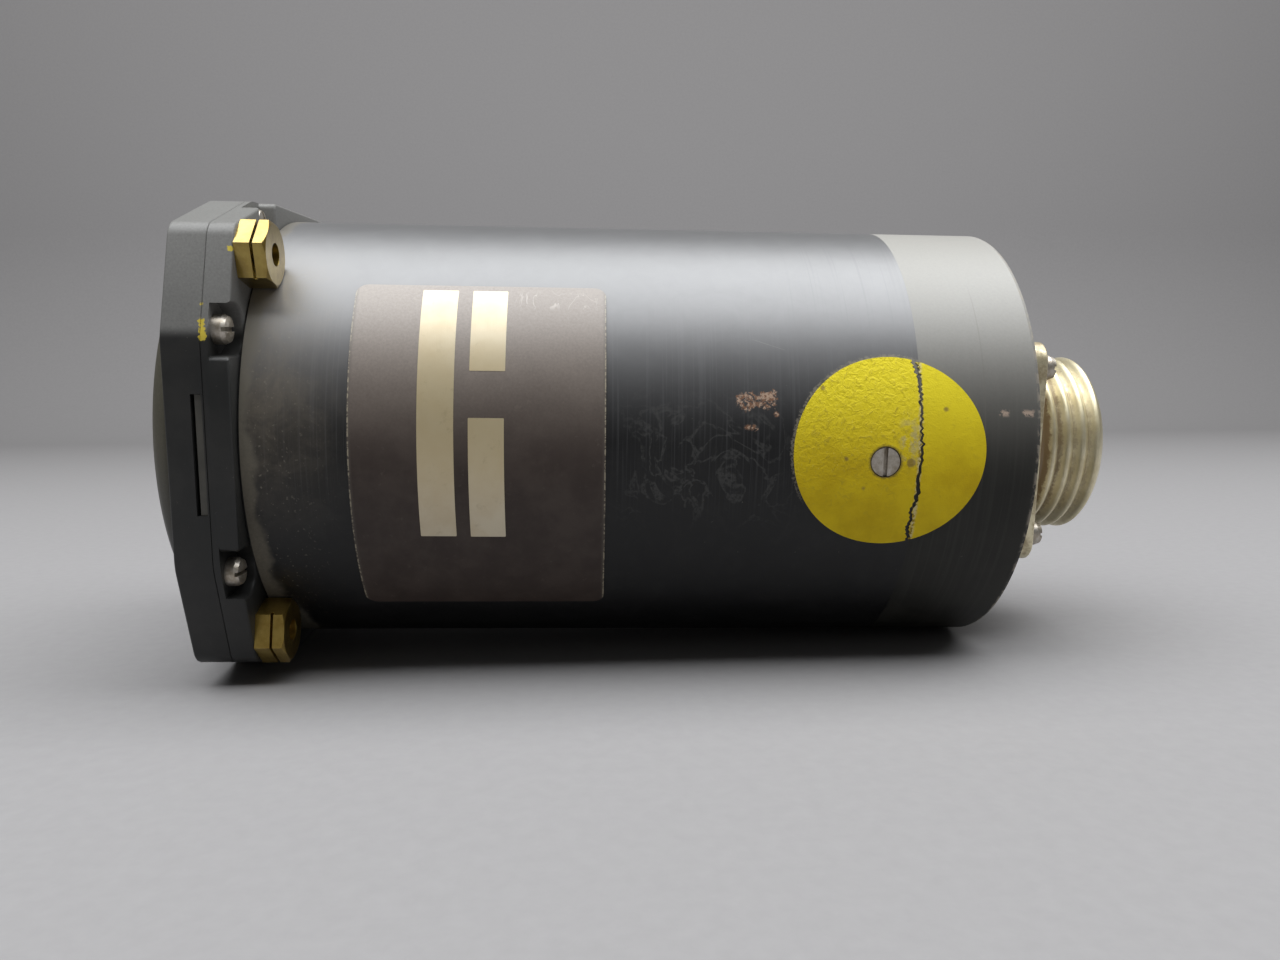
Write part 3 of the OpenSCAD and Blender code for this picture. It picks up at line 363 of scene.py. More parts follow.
class Paint:
    """A material with short calls for the nodes that it uses. Lengths are in millimetres."""

    def __init__(self, name):
        self.material = bpy.data.materials.new(name)
        self.material.use_nodes = True
        self.tree = self.material.node_tree
        self.tree.nodes.clear()
        out = self.add("ShaderNodeOutputMaterial")
        self.bsdf = self.add("ShaderNodeBsdfPrincipled")
        self.tree.links.new(self.bsdf.outputs[0], out.inputs[0])
        place = self.add("ShaderNodeTexCoord")
        scaled = self.add("ShaderNodeVectorMath")
        scaled.operation = "SCALE"
        scaled.inputs["Scale"].default_value = 1 / MM
        self.tree.links.new(place.outputs["Object"], scaled.inputs[0])
        self.mm = scaled.outputs[0]
        parts = self.add("ShaderNodeSeparateXYZ")
        self.tree.links.new(self.mm, parts.inputs[0])
        self.x, self.y, self.z = parts.outputs

    def add(self, kind):
        return self.tree.nodes.new(kind)

    def feed(self, socket, value):
        if isinstance(value, bpy.types.NodeSocket):
            self.tree.links.new(value, socket)
        elif isinstance(value, tuple) and socket.type == "RGBA" and len(value) == 3:
            socket.default_value = (*value, 1)
        else:
            socket.default_value = value

    def put(self, **values):
        for name, value in values.items():
            self.feed(self.bsdf.inputs[name.replace("_", " ")], value)

    def polish(self, roughness):
        """A clear sheen that is whole on the upper part and worn off on the lower."""
        self.put(Coat_Weight=self.rise(self.z, *SHEEN_Z), Coat_Roughness=roughness, Coat_IOR=BLACK_IOR)

    # Numbers

    def math(self, operation, *values):
        node = self.add("ShaderNodeMath")
        node.operation = operation
        for socket, value in zip(node.inputs, values):
            self.feed(socket, value)
        return node.outputs[0]

    def chain(self, operation, first, *others):
        for other in others:
            first = self.math(operation, first, other)
        return first

    def times(self, *values):
        return self.chain("MULTIPLY", *values)

    def total(self, *values):
        return self.chain("ADD", *values)

    def most(self, *values):
        return self.chain("MAXIMUM", *values)

    def less(self, first, second):
        return self.math("SUBTRACT", first, second)

    def hypot(self, first, second):
        return self.math("SQRT", self.total(self.times(first, first), self.times(second, second)))

    def sine(self, value):
        return self.math("SINE", value)

    def rise(self, value, low, high):
        """0 below low, 1 above high, smooth between; it falls where low is above high."""
        node = self.add("ShaderNodeMapRange")
        node.interpolation_type = "SMOOTHSTEP"
        self.feed(node.inputs["Value"], value)
        if low < high:
            ends = (low, high, 0.0, 1.0)
        else:
            ends = (high, low, 1.0, 0.0)
        for name, end in zip(("From Min", "From Max", "To Min", "To Max"), ends):
            node.inputs[name].default_value = end
        return node.outputs[0]

    def within(self, value, low, high, soft):
        """1 between low and high, fading over soft on both sides of each."""
        return self.times(self.rise(value, low - soft, low + soft), self.rise(value, high + soft, high - soft))

    def between(self, share, low, high):
        """A number from low to high as share goes from 0 to 1."""
        return self.total(self.times(share, high - low), low)

    # Places

    def scaled_by(self, factors):
        """The place in millimetres, stretched along each axis."""
        node = self.add("ShaderNodeVectorMath")
        node.operation = "MULTIPLY"
        self.feed(node.inputs[0], self.mm)
        node.inputs[1].default_value = factors
        return node.outputs[0]

    def angle(self):
        """Degrees round the case, above the side that faces the camera."""
        return self.times(self.math("ARCTAN2", self.z, self.times(self.y, -1.0)), 180 / math.pi)

    def around(self, along, across):
        """A coordinate that follows the case: along its axis and along its circumference."""
        node = self.add("ShaderNodeCombineXYZ")
        self.feed(node.inputs[0], self.times(self.x, along))
        self.feed(node.inputs[1], self.times(self.angle(), across * PER_DEGREE))
        return node.outputs[0]

    def near_side(self):
        """Less of the dust and painted highlight beyond the top, on the side away from the camera."""
        return self.between(self.rise(self.y, 22, -12), 0.3, 1.0)

    # Patterns

    def noise(self, size, detail=3.0, roughness=0.5, vector=None, distortion=0.0):
        node = self.add("ShaderNodeTexNoise")
        self.feed(node.inputs["Vector"], vector or self.mm)
        node.inputs["Scale"].default_value = 1 / size
        node.inputs["Detail"].default_value = detail
        node.inputs["Roughness"].default_value = roughness
        node.inputs["Distortion"].default_value = distortion
        return node.outputs[0]

    def lines(self, noise, wide, narrow):
        """1 along the winding lines where a noise passes its middle."""
        return self.rise(self.math("ABSOLUTE", self.less(noise, 0.5)), wide, narrow)

    def spots(self, points, size, ragged=0.6, grain_size=0.9):
        """1 in small ragged spots: points are (place, radius)."""
        grain = self.noise(grain_size, 4.0, 0.7)
        found = []
        for point, radius in points:
            away = self.add("ShaderNodeVectorMath")
            away.operation = "DISTANCE"
            self.feed(away.inputs[0], self.mm)
            away.inputs[1].default_value = point
            reach = self.total(away.outputs["Value"], self.times(grain, ragged * radius * 2))
            found.append(self.rise(reach, radius * (1 + ragged) + size, radius * (1 + ragged) - size))
        return self.most(*found)

    # Colours

    def mix(self, share, a, b):
        node = self.add("ShaderNodeMix")
        node.data_type = "RGBA"
        self.feed(node.inputs[0], share)
        self.feed(node.inputs[6], a)
        self.feed(node.inputs[7], b)
        return node.outputs[2]

    def layers(self, base, *coats):
        """Colours laid over a base one by one: each coat is (share, colour)."""
        for share, colour in coats:
            base = self.mix(share, base, colour)
        return base

    def relief(self, height, distance, strength, edge=0.0):
        """Bump from a height of 0 to 1 over a distance; edge softens edges by that radius."""
        bump = self.add("ShaderNodeBump")
        bump.inputs["Strength"].default_value = strength
        bump.inputs["Distance"].default_value = distance * MM
        self.feed(bump.inputs["Height"], height)
        if edge:
            soft = self.add("ShaderNodeBevel")
            soft.samples = 6
            soft.inputs["Radius"].default_value = edge * MM
            self.tree.links.new(soft.outputs[0], bump.inputs["Normal"])
        self.tree.links.new(bump.outputs[0], self.bsdf.inputs["Normal"])


def flange_black():
    """Satin black enamel with dust and a painted highlight on the upper facets, and a few chips down to the
    yellow primer.
    """
    p = Paint("flange_black")
    blotch = p.noise(9, 4, 0.6)
    grain = p.noise(0.35, 2, 0.5)
    speck = p.rise(p.noise(0.8, 3, 0.7), 0.70, 0.76)
    chips = p.spots([((6.2, -40.6, 20.8), 0.50), ((6.3, -40.8, 20.2), 0.45), ((6.4, -41.0, 19.6), 0.50),
                     ((6.45, -41.1, 19.0), 0.50), ((6.5, -41.2, 18.4), 0.60), ((6.1, -39.8, 23.4), 0.30),
                     ((9.9, -36.9, 32.0), 0.50), ((9.5, 40.6, -19.5), 0.5), ((0.4, 20.1, 41.0), 0.5),
                     ((9.3, -20.5, -40.9), 0.45)], 0.08, 1.0, 0.45)
    olive = p.times(p.rise(p.x, -0.1, -0.6), p.between(grain, 0.5, 1.0), p.rise(p.z, -22, 4))
    # Dust and a painted highlight: lighter on the upward facets and the top, above the folds
    facet_dust_and_highlight = p.times(p.rise(p.z, 18.0, 20.2), p.between(p.rise(p.z, 18, 36), 0.8, 1.0),
                    p.between(grain, 0.5, 0.9))
    base = p.layers(p.mix(p.rise(blotch, 0.35, 0.7), (0.016, 0.0165, 0.016), (0.026, 0.0255, 0.024)),
                    (facet_dust_and_highlight, (0.245, 0.242, 0.230)),
                    (olive, (0.10, 0.092, 0.066)),
                    (p.times(speck, 0.35), (0.20, 0.18, 0.15)),
                    (chips, (0.56, 0.44, 0.05)))
    p.put(Base_Color=base, Roughness=p.between(blotch, 0.38, 0.50), Specular_IOR_Level=0.4)
    p.relief(grain, 0.02, 0.5)
    return p.material


def case_black():
    """Smooth satin black tube: a band of dust behind the flange, faint scuffs and rubbed rings."""
    p = Paint("case_black")
    angle = p.angle()
    blotch = p.noise(16, 4, 0.6)
    cloud = p.noise(5, 4, 0.65, distortion=0.6)
    grain = p.noise(0.5, 3, 0.6)
    turning = p.noise(1.0, 3, 0.6, p.scaled_by((2.2, 0.025, 0.025)))
    speck = p.rise(p.noise(0.7, 2, 0.6), 0.73, 0.80)
    # Dust behind the flange: a solid band with a ragged edge, then a brown haze with sand in it
    edge = p.total(p.x, p.times(p.noise(7, 3, 0.6), 5.0))
    low = p.rise(p.z, -19, -34)
    band = p.times(p.rise(p.less(edge, p.times(low, 3.0)), 15.9, 14.3), p.between(grain, 0.5, 1.2))
    haze = p.times(p.rise(edge, 33, 15), p.between(p.rise(cloud, 0.35, 0.7), 0.45, 1.0),
                   p.between(grain, 0.45, 0.95), p.rise(p.z, -20, 12), p.rise(p.z, 34, 26))
    sand = p.times(p.rise(p.noise(0.55, 2, 0.5), 0.64, 0.72), p.rise(edge, 30, 14), 0.55)
    # Dust on the upper part, and a painted highlight: lighter on the upper flank towards the camera, less at
    # the very top
    top_dust_and_highlight = p.times(p.rise(p.z, 1, 31), p.between(p.rise(p.z, 39.4, 32), 0.35, 1.0), p.near_side(),
                      p.between(cloud, 0.8, 1.1))
    # Marks of handling between the data plate and the seal
    vein = p.times(p.lines(p.noise(9, 3, 0.55, distortion=1.5), 0.040, 0.004), p.within(p.x, 72, 97, 5),
                   p.within(angle, -14, 14, 6), p.rise(grain, 0.3, 0.6), 0.38)
    streak = p.times(p.rise(turning, 0.50, 0.66), p.within(p.z, -4, 28, 9), p.rise(p.y, 5, -20), 0.55)
    flaked = p.rise(p.noise(1.1, 4, 0.8, distortion=1.2), 0.44, 0.50)
    scuff = p.spots([((91.2, -38.7, 9.1), 1.5), ((93.0, -38.7, 9.2), 0.8), ((94.8, -38.6, 9.6), 1.5),
                     ((96.0, -39.1, 7.2), 0.5), ((91.2, -39.4, 5.1), 0.5), ((92.4, -39.4, 4.9), 0.5)],
                    0.15, 1.3, 1.5)
    bared = p.mix(p.rise(grain, 0.45, 0.6), (0.20, 0.10, 0.055), (0.46, 0.32, 0.23))
    slant = p.total(angle, p.times(p.x, 0.5))
    scratch = p.times(p.within(p.x, 92.5, 97.5, 0.6), p.within(slant, 75.0, 75.1, 0.1),
                      p.rise(grain, 0.3, 0.5), 0.5)
    rubbed = p.times(p.within(p.x, 98, 121, 4), p.within(angle, 22, 75, 10), p.rise(turning, 0.5, 0.68), 0.25)
    # Glue along the seal's upper front edge
    along = p.less(p.x, SEAL_CENTRE[0])
    up = p.times(p.less(angle, SEAL_CENTRE[1]), PER_DEGREE)
    glue_reach = p.total(p.hypot(along, up), p.times(p.noise(0.8, 3, 0.7), 1.2))
    glue = p.times(p.rise(glue_reach, 17.25, 17.0), p.rise(p.less(up, along), 4, 11),
                   p.rise(p.noise(0.5, 3, 0.7), 0.40, 0.56), 0.75)
    base = p.layers(p.mix(p.rise(blotch, 0.35, 0.7), (0.0050, 0.0052, 0.0058), (0.0085, 0.0085, 0.0088)),
                    (p.times(p.rise(cloud, 0.45, 0.8), 0.4), (0.022, 0.022, 0.022)),
                    (streak, (0.050, 0.050, 0.052)),
                    (top_dust_and_highlight, (0.200, 0.200, 0.205)),
                    (haze, (0.155, 0.132, 0.100)),
                    (sand, (0.22, 0.20, 0.16)),
                    (vein, (0.10, 0.10, 0.095)),
                    (rubbed, (0.10, 0.105, 0.11)),
                    (band, (0.150, 0.135, 0.105)),
                    (p.times(speck, 0.4), (0.16, 0.15, 0.13)),
                    (p.times(scuff, flaked), bared),
                    (scratch, (0.30, 0.29, 0.27)),
                    (glue, (0.22, 0.20, 0.16)))
    gloss = p.total(p.between(blotch, 0.38, 0.46), p.times(p.most(band, scuff, glue), 0.36))
    p.put(Base_Color=base, Roughness=gloss, Specular_IOR_Level=0.28, IOR=BLACK_IOR)
    p.polish(0.42)
    p.relief(p.total(p.times(turning, 0.5), p.times(grain, 0.5)), 0.008, 0.35)
    return p.material


def cap_grey():
    """Faded matt black cap: olive dust and a painted highlight on the upper part, fine turning marks, worn rim
    and a hairline.
    """
    p = Paint("cap_grey")
    angle = p.angle()
    blotch = p.noise(10, 4, 0.6)
    grain = p.noise(0.45, 3, 0.65)
    turning = p.noise(1.0, 3, 0.6, p.scaled_by((1.6, 0.02, 0.02)))
    radius = p.hypot(p.y, p.z)
    rim = p.times(p.rise(p.x, 139.2, 140.0), p.rise(radius, 38.4, 39.0),
                  p.rise(p.noise(1.6, 4, 0.7), 0.46, 0.58))
    hairline = p.times(p.within(p.x, 130.55, 130.75, 0.07), p.within(angle, -4, 44, 6), 0.35)
    scuff = p.times(p.most(p.within(p.x, 133.0, 134.6, 0.3), p.within(p.x, 136.8, 138.9, 0.3)),
                    p.within(angle, 10.6, 12.0, 0.5), p.rise(p.noise(0.8, 4, 0.8), 0.47, 0.53))
    speck = p.rise(p.noise(0.8, 3, 0.6), 0.70, 0.78)
    # Dust and a painted highlight: lighter on the upper part, more on the side towards the camera
    top_dust_and_highlight = p.times(p.rise(p.z, -5.5, 33), p.rise(radius, 37.8, 39.2), p.near_side(),
                      p.between(grain, 0.85, 1.1))
    base = p.layers(p.mix(p.rise(blotch, 0.3, 0.7), (0.012, 0.0118, 0.0095), (0.020, 0.0195, 0.016)),
                    (p.times(p.rise(turning, 0.45, 0.7), 0.35), (0.040, 0.039, 0.034)),
                    (top_dust_and_highlight, (0.30, 0.29, 0.262)),
                    (p.times(speck, 0.3), (0.16, 0.14, 0.11)),
                    (hairline, (0.14, 0.13, 0.11)),
                    (scuff, (0.42, 0.32, 0.25)),
                    (p.times(rim, 0.8), (0.33, 0.29, 0.23)))
    p.put(Base_Color=base, Roughness=p.between(blotch, 0.50, 0.60), Specular_IOR_Level=0.25, IOR=BLACK_IOR)
    p.polish(0.55)
    p.relief(p.total(grain, turning), 0.012, 0.4)
    return p.material


def metal(name, light, dark, gloss, size=2.0, edge=0.12, brushed=(1, 1, 1)):
    """Metal with tarnish in patches and softened edges; brushed stretches its fine grain."""
    p = Paint(name)
    patch = p.noise(size, 4, 0.65)
    p.put(Base_Color=p.mix(p.rise(patch, 0.34, 0.68), light, dark), Metallic=0.95,
          Roughness=p.between(patch, *gloss))
    p.relief(p.noise(0.12, 2, 0.6, p.scaled_by(brushed)), 0.006, 0.5, edge)
    return p.material


def nut_brass():
    """Brass under a thin clear film, with a darker copy of the brass on the upper nuts as painted shade."""
    p = Paint("nut_brass")
    patch = p.noise(3, 4, 0.65)
    share = p.rise(patch, 0.34, 0.68)
    bright = p.mix(share, (0.66, 0.47, 0.12), (0.48, 0.31, 0.065))
    # A darker copy of the brass for the upper nuts: painted shade
    shaded_brass = p.mix(share, (0.40, 0.290, 0.068), (0.29, 0.195, 0.036))
    p.put(Base_Color=p.mix(p.rise(p.z, -10, 25), bright, shaded_brass), Metallic=0.95,
          Roughness=p.between(patch, 0.24, 0.40), Coat_Weight=0.7, Coat_Roughness=0.12)
    p.relief(p.noise(0.12, 2, 0.6, p.scaled_by((0.3, 1, 1))), 0.006, 0.5, 0.12)
    return p.material


def connector_metal():
    """Olive-silver plating with brown dirt in the grooves and in patches on the flange."""
    p = Paint("connector_metal")
    patch = p.noise(4, 4, 0.65)
    fine = p.noise(0.8, 3, 0.6)
    radius = p.hypot(p.y, p.total(p.z, -CONN_DROP))
    grime = p.less(p.total(radius, p.times(p.noise(1.6, 4, 0.75), 2.4)), p.times(p.rise(p.x, 157, 150.5), 0.9))
    groove = p.times(p.rise(grime, 17.9, 17.2), p.between(p.rise(p.x, 160, 152), 0.45, 1.0),
                     p.within(p.x, 149.2, 163.2, 0.5))
    flat = p.times(p.within(p.x, 146.0, 149.9, 0.2), p.rise(patch, 0.45, 0.62), 0.55)
    base = p.layers(p.mix(p.rise(patch, 0.3, 0.7), (0.86, 0.79, 0.57), (0.70, 0.62, 0.40)),
                    (p.most(p.times(groove, 0.9), flat), (0.22, 0.135, 0.055)))
    p.put(Base_Color=base, Metallic=p.between(p.most(groove, flat), 0.85, 0.15),
          Roughness=p.between(patch, 0.34, 0.52), Coat_Weight=0.5, Coat_Roughness=0.25)
    p.relief(fine, 0.02, 0.5, 0.12)
    return p.material


def plain(name, light, dark, gloss, size=3.0, bump=0.01, bump_size=0.3, edge=0.0):
    """A dull surface of two close colours with a fine grain."""
    p = Paint(name)
    patch = p.noise(size, 4, 0.6)
    p.put(Base_Color=p.mix(p.rise(patch, 0.3, 0.7), light, dark), Roughness=p.between(patch, *gloss))
    p.relief(p.noise(bump_size, 3, 0.6), bump, 0.6, edge)
    return p.material


def label_foil():
    """Brown foil with dust and a painted sheen towards the top, pale edges and rubbed patches."""
    p = Paint("label_foil")
    angle = p.angle()
    front, rear = LABEL_X
    cloud = p.noise(6, 5, 0.65)
    grain = p.noise(0.4, 3, 0.7)
    worn = p.times(p.rise(p.noise(1.4, 5, 0.75), 0.60, 0.72), 0.35)
    border = p.most(p.rise(p.x, front + 0.7, front + 0.15), p.rise(p.x, rear - 0.7, rear - 0.15))
    rim = p.most(p.rise(p.x, front + 0.3, front + 0.1), p.rise(p.x, rear - 0.3, rear - 0.1))
    flecks = p.times(rim, p.rise(p.noise(0.7, 3, 0.7), 0.46, 0.54), 0.75)
    rub = p.times(p.lines(p.noise(5, 3, 0.6, distortion=1.2), 0.014, 0.002), p.within(p.x, 54, 66.5, 1.5),
                  p.within(angle, 36.5, 41, 1), 0.5)
    # Dust and a painted sheen: lighter towards the top of the plate
    top_dust_and_highlight = p.times(p.rise(angle, -6, 42), p.between(p.rise(p.x, 60, 30), 0.9, 1.0),
                      p.between(grain, 0.5, 1.1))
    base = p.layers(p.mix(p.rise(cloud, 0.35, 0.7), (0.040, 0.027, 0.022), (0.060, 0.044, 0.036)),
                    (worn, (0.12, 0.10, 0.08)),
                    (top_dust_and_highlight, (0.37, 0.315, 0.27)),
                    (p.times(border, 0.5), (0.11, 0.095, 0.078)),
                    (flecks, (0.42, 0.37, 0.27)),
                    (rub, (0.62, 0.56, 0.52)))
    p.put(Base_Color=base, Roughness=p.between(cloud, 0.40, 0.52), Specular_IOR_Level=0.25, IOR=BLACK_IOR)
    p.polish(0.46)
    p.relief(p.total(grain, cloud), 0.02, 0.4)
    return p.material


def window_foil():
    """Bare aluminium foil, brushed and yellowed."""
    p = Paint("window_foil")
    cloud = p.noise(6, 4, 0.6)
    stain = p.rise(p.noise(2.4, 4, 0.7), 0.56, 0.80)
    brushed = p.noise(1.0, 3, 0.6, p.around(6.0, 0.25))
    tint = p.within(p.angle(), -6, 24, 12)
    base = p.layers(p.mix(p.rise(cloud, 0.3, 0.75), (0.64, 0.57, 0.43), (0.58, 0.49, 0.34)),
                    (p.times(tint, 0.6), (0.68, 0.55, 0.30)),
                    (p.times(stain, 0.35), (0.34, 0.27, 0.15)))
    p.put(Base_Color=base, Metallic=0.55, Roughness=p.between(brushed, 0.34, 0.52))
    p.relief(p.total(brushed, cloud), 0.02, 0.5)
    return p.material


def seal_paper():
    """Worn yellow paper, crinkled towards the front, brown at the tear and round the screw."""
    p = Paint("seal_paper")
    angle = p.angle()
    cloud = p.noise(6, 4, 0.6)
    crinkle = p.noise(1.1, 4, 0.62, distortion=0.7)
    fibre = p.noise(0.25, 3, 0.6)
    crumpled = p.times(p.rise(p.x, 124, 115), p.rise(angle, -16, 2))
    ridges = p.times(p.rise(crinkle, 0.54, 0.70), p.between(crumpled, 0.15, 0.50))
    lint = p.times(p.rise(fibre, 0.60, 0.74), crumpled, 0.35)
    screw = p.spots([((SCREW_HOLE[0], -39.5, -0.4), 2.75)], 0.35, 0.16, 0.6)
    tear = p.within(p.total(p.x, p.times(p.noise(0.9, 4, 0.7), 0.9)), 120.0, 120.5, 0.35)
    torn = p.mix(p.rise(p.noise(0.6, 2, 0.5), 0.44, 0.52), (0.17, 0.10, 0.03), (0.62, 0.56, 0.36))
    spots = p.spots([((118.4, -39.5, -0.5), 0.75), ((107.6, -39.5, 0.1), 0.35), ((110.8, -39.2, -4.8), 0.3),
                     ((116.9, -35.7, 16.9), 0.35), ((124.0, -38.7, 8.3), 0.4), ((103.6, -37.8, 11.5), 0.4)],
                    0.2)
    smear = p.times(p.within(p.x, 116.6, 119.6, 0.8), p.within(angle, 0, 9, 4),
                    p.rise(p.noise(1.6, 4, 0.7), 0.45, 0.62), 0.6)
    base = p.layers(p.mix(p.rise(cloud, 0.3, 0.7), (0.74, 0.55, 0.008), (0.60, 0.42, 0.004)),
                    # Paler towards the top: a painted highlight
                    (p.rise(angle, -8, 20), (0.84, 0.70, 0.022)),
                    (ridges, (0.40, 0.30, 0.03)),
                    (lint, (0.80, 0.72, 0.22)),
                    (p.times(screw, 0.9), (0.11, 0.075, 0.03)),
                    (p.times(tear, 0.85), torn),
                    (p.times(spots, 0.75), (0.22, 0.15, 0.05)),
                    (smear, (0.42, 0.38, 0.26)))
    p.put(Base_Color=base, Roughness=0.62, Specular_IOR_Level=0.22)
    p.relief(p.total(p.times(crinkle, p.between(crumpled, 0.15, 1.0)), p.times(fibre, 0.15)), 0.34, 0.9)
    return p.material


def cover_glass():
    """Clear glass with faint smears."""
    p = Paint("cover_glass")
    smears = p.rise(p.noise(9, 3, 0.6), 0.45, 0.8)
    p.put(Base_Color=(0.98, 1.0, 0.99), Roughness=p.between(smears, 0.01, 0.06), IOR=1.5,
          Transmission_Weight=1.0)
    return p.material


def board_laminate():
    """Phenolic board with a faint weave."""
    p = Paint("board_laminate")
    weave = p.times(p.sine(p.times(p.y, 9.0)), p.sine(p.times(p.z, 9.0)))
    patch = p.noise(5, 4, 0.6)
    base = p.layers(p.mix(p.rise(patch, 0.3, 0.7), (0.20, 0.125, 0.035), (0.15, 0.09, 0.025)),
                    (p.rise(weave, 0.2, 0.9), (0.26, 0.18, 0.06)))
    p.put(Base_Color=base, Roughness=p.between(patch, 0.38, 0.5))
    p.relief(weave, 0.01, 0.4)
    return p.material


def wire_insulation():
    """A laced bundle: its lay shows as slanting stripes."""
    p = Paint("wire_insulation")
    lay = p.sine(p.total(p.times(p.x, 2.4), p.times(p.math("ARCTAN2", p.z, p.y), 5.0)))
    patch = p.noise(4, 3, 0.6)
    base = p.mix(p.rise(lay, -0.4, 0.6), (0.66, 0.62, 0.52), (0.48, 0.44, 0.34))
    p.put(Base_Color=base, Roughness=p.between(patch, 0.5, 0.65))
    p.relief(lay, 0.12, 0.7)
    return p.material


def transformer_iron():
    """Varnished laminations, seen as fine lines."""
    p = Paint("transformer_iron")
    plates = p.sine(p.times(p.x, 14.0))
    patch = p.noise(4, 4, 0.6)
    base = p.mix(p.rise(plates, -0.3, 0.6), (0.11, 0.075, 0.035), (0.20, 0.14, 0.07))
    p.put(Base_Color=base, Metallic=0.4, Roughness=p.between(patch, 0.38, 0.55))
    p.relief(plates, 0.05, 0.7, 0.3)
    return p.material


def all_materials():
    """The materials by name: one for every material slot of the record, and two for new pieces alone."""
    made = {make.__name__: make() for make in (
        flange_black, case_black, cap_grey, nut_brass, cover_glass, connector_metal, label_foil, window_foil,
        seal_paper, board_laminate, wire_insulation, transformer_iron)}
    metals = {
        "screw_cadmium": ((0.58, 0.54, 0.48), (0.38, 0.33, 0.26), (0.36, 0.55), 1.4, 0.10),
        "contact_gold": ((0.78, 0.56, 0.22), (0.62, 0.43, 0.16), (0.22, 0.36), 1.0, 0.05),
        "frame_aluminium": ((0.66, 0.67, 0.68), (0.55, 0.56, 0.57), (0.30, 0.42), 5.0, 0.15, (1, 0.15, 1)),
        "shaft_steel": ((0.60, 0.60, 0.60), (0.50, 0.50, 0.51), (0.22, 0.34), 2.0, 0.1, (0.1, 1, 1)),
        "gear_brass": ((0.66, 0.50, 0.20), (0.54, 0.39, 0.14), (0.26, 0.38), 2.0, 0.06),
        "bush_bronze": ((0.50, 0.31, 0.15), (0.40, 0.23, 0.10), (0.34, 0.46), 1.5, 0.08),
        "synchro_steel": ((0.50, 0.50, 0.52), (0.42, 0.42, 0.43), (0.30, 0.45), 4.0, 0.2, (1, 0.2, 1)),
        "component_cans": ((0.58, 0.56, 0.52), (0.48, 0.46, 0.41), (0.28, 0.42), 3.0, 0.2),
    }
    moulded = (3.0, 0.01, 0.3, 0.1)
    dial_paint = ((0.5, 0.62), 2.0, 0.008, 0.2)
    plains = {
        "gasket_rubber": ((0.010, 0.010, 0.010), (0.016, 0.015, 0.014), (0.7, 0.85)),
        "insert_rubber": ((0.030, 0.042, 0.034), (0.045, 0.055, 0.045), (0.5, 0.65), *moulded),
        "tray_black": ((0.062, 0.059, 0.050), (0.085, 0.080, 0.068), (0.42, 0.6), *moulded),
        "lamp_glass": ((0.75, 0.70, 0.55), (0.62, 0.58, 0.46), (0.12, 0.2), *moulded),
        "dial_black": ((0.0075, 0.0075, 0.0075), (0.012, 0.012, 0.012), (0.62, 0.78), 4.0, 0.012, 0.2),
        "dial_white": ((0.78, 0.77, 0.70), (0.70, 0.68, 0.60), (0.55, 0.7), 2.0, 0.01, 0.15),
        "needle_yellow": ((0.74, 0.52, 0.03), (0.66, 0.44, 0.02), *dial_paint, 0.06),
        "needle_white": ((0.74, 0.74, 0.69), (0.66, 0.66, 0.60), *dial_paint, 0.06),
        "flag_orange": ((0.72, 0.12, 0.025), (0.62, 0.09, 0.02), *dial_paint, 0.05),
    }
    made.update({name: metal(name, *values) for name, values in metals.items()})
    made.update({name: plain(name, *values) for name, values in plains.items()})
    return made


def dress_nodes(materials):
    slots = {part["node"]: part["material_slot"] for part in frame["record"]["subparts"]}
    for node, obj in frame["nodes"].items():
        material = materials[slots[node]]
        if obj.material_slots:
            for holder in obj.material_slots:
                holder.material = material
        else:
            obj.data.materials.append(material)


# Pieces

def flange_slab(name, x0, x1, front, rear):
    """The flange's outline, a square with its sides folded back towards cut corners."""
    f, s, c = FLANGE_R, SIDE_HALF, CORNER_AT
    points = [(f, -s), (f, s), (c, c), (s, f), (-s, f), (-c, c),
              (-f, s), (-f, -s), (-c, -c), (-s, -f), (s, -f), (c, -c)]
    return rounded_slab(name, points, [FOLD_R, FOLD_R, CORNER_R] * 4, x0, x1, front, rear)


def corner_cutters(at, r, x0, x1, n):
    """Four holes at the corners of a square."""
    return [bar("hole", r, x0, x1, y * at, z * at, n) for y, z in ((1, 1), (1, -1), (-1, -1), (-1, 1))]


def screw_places():
    """The eight flange screws: Y, Z and the side, in quarter turns from +Y."""
    for side in range(4):
        c, s = math.cos(math.radians(90 * side)), math.sin(math.radians(90 * side))
        for b in (-SCREW_B, SCREW_B):
            yield SCREW_A * c - b * s, SCREW_A * s + b * c, side


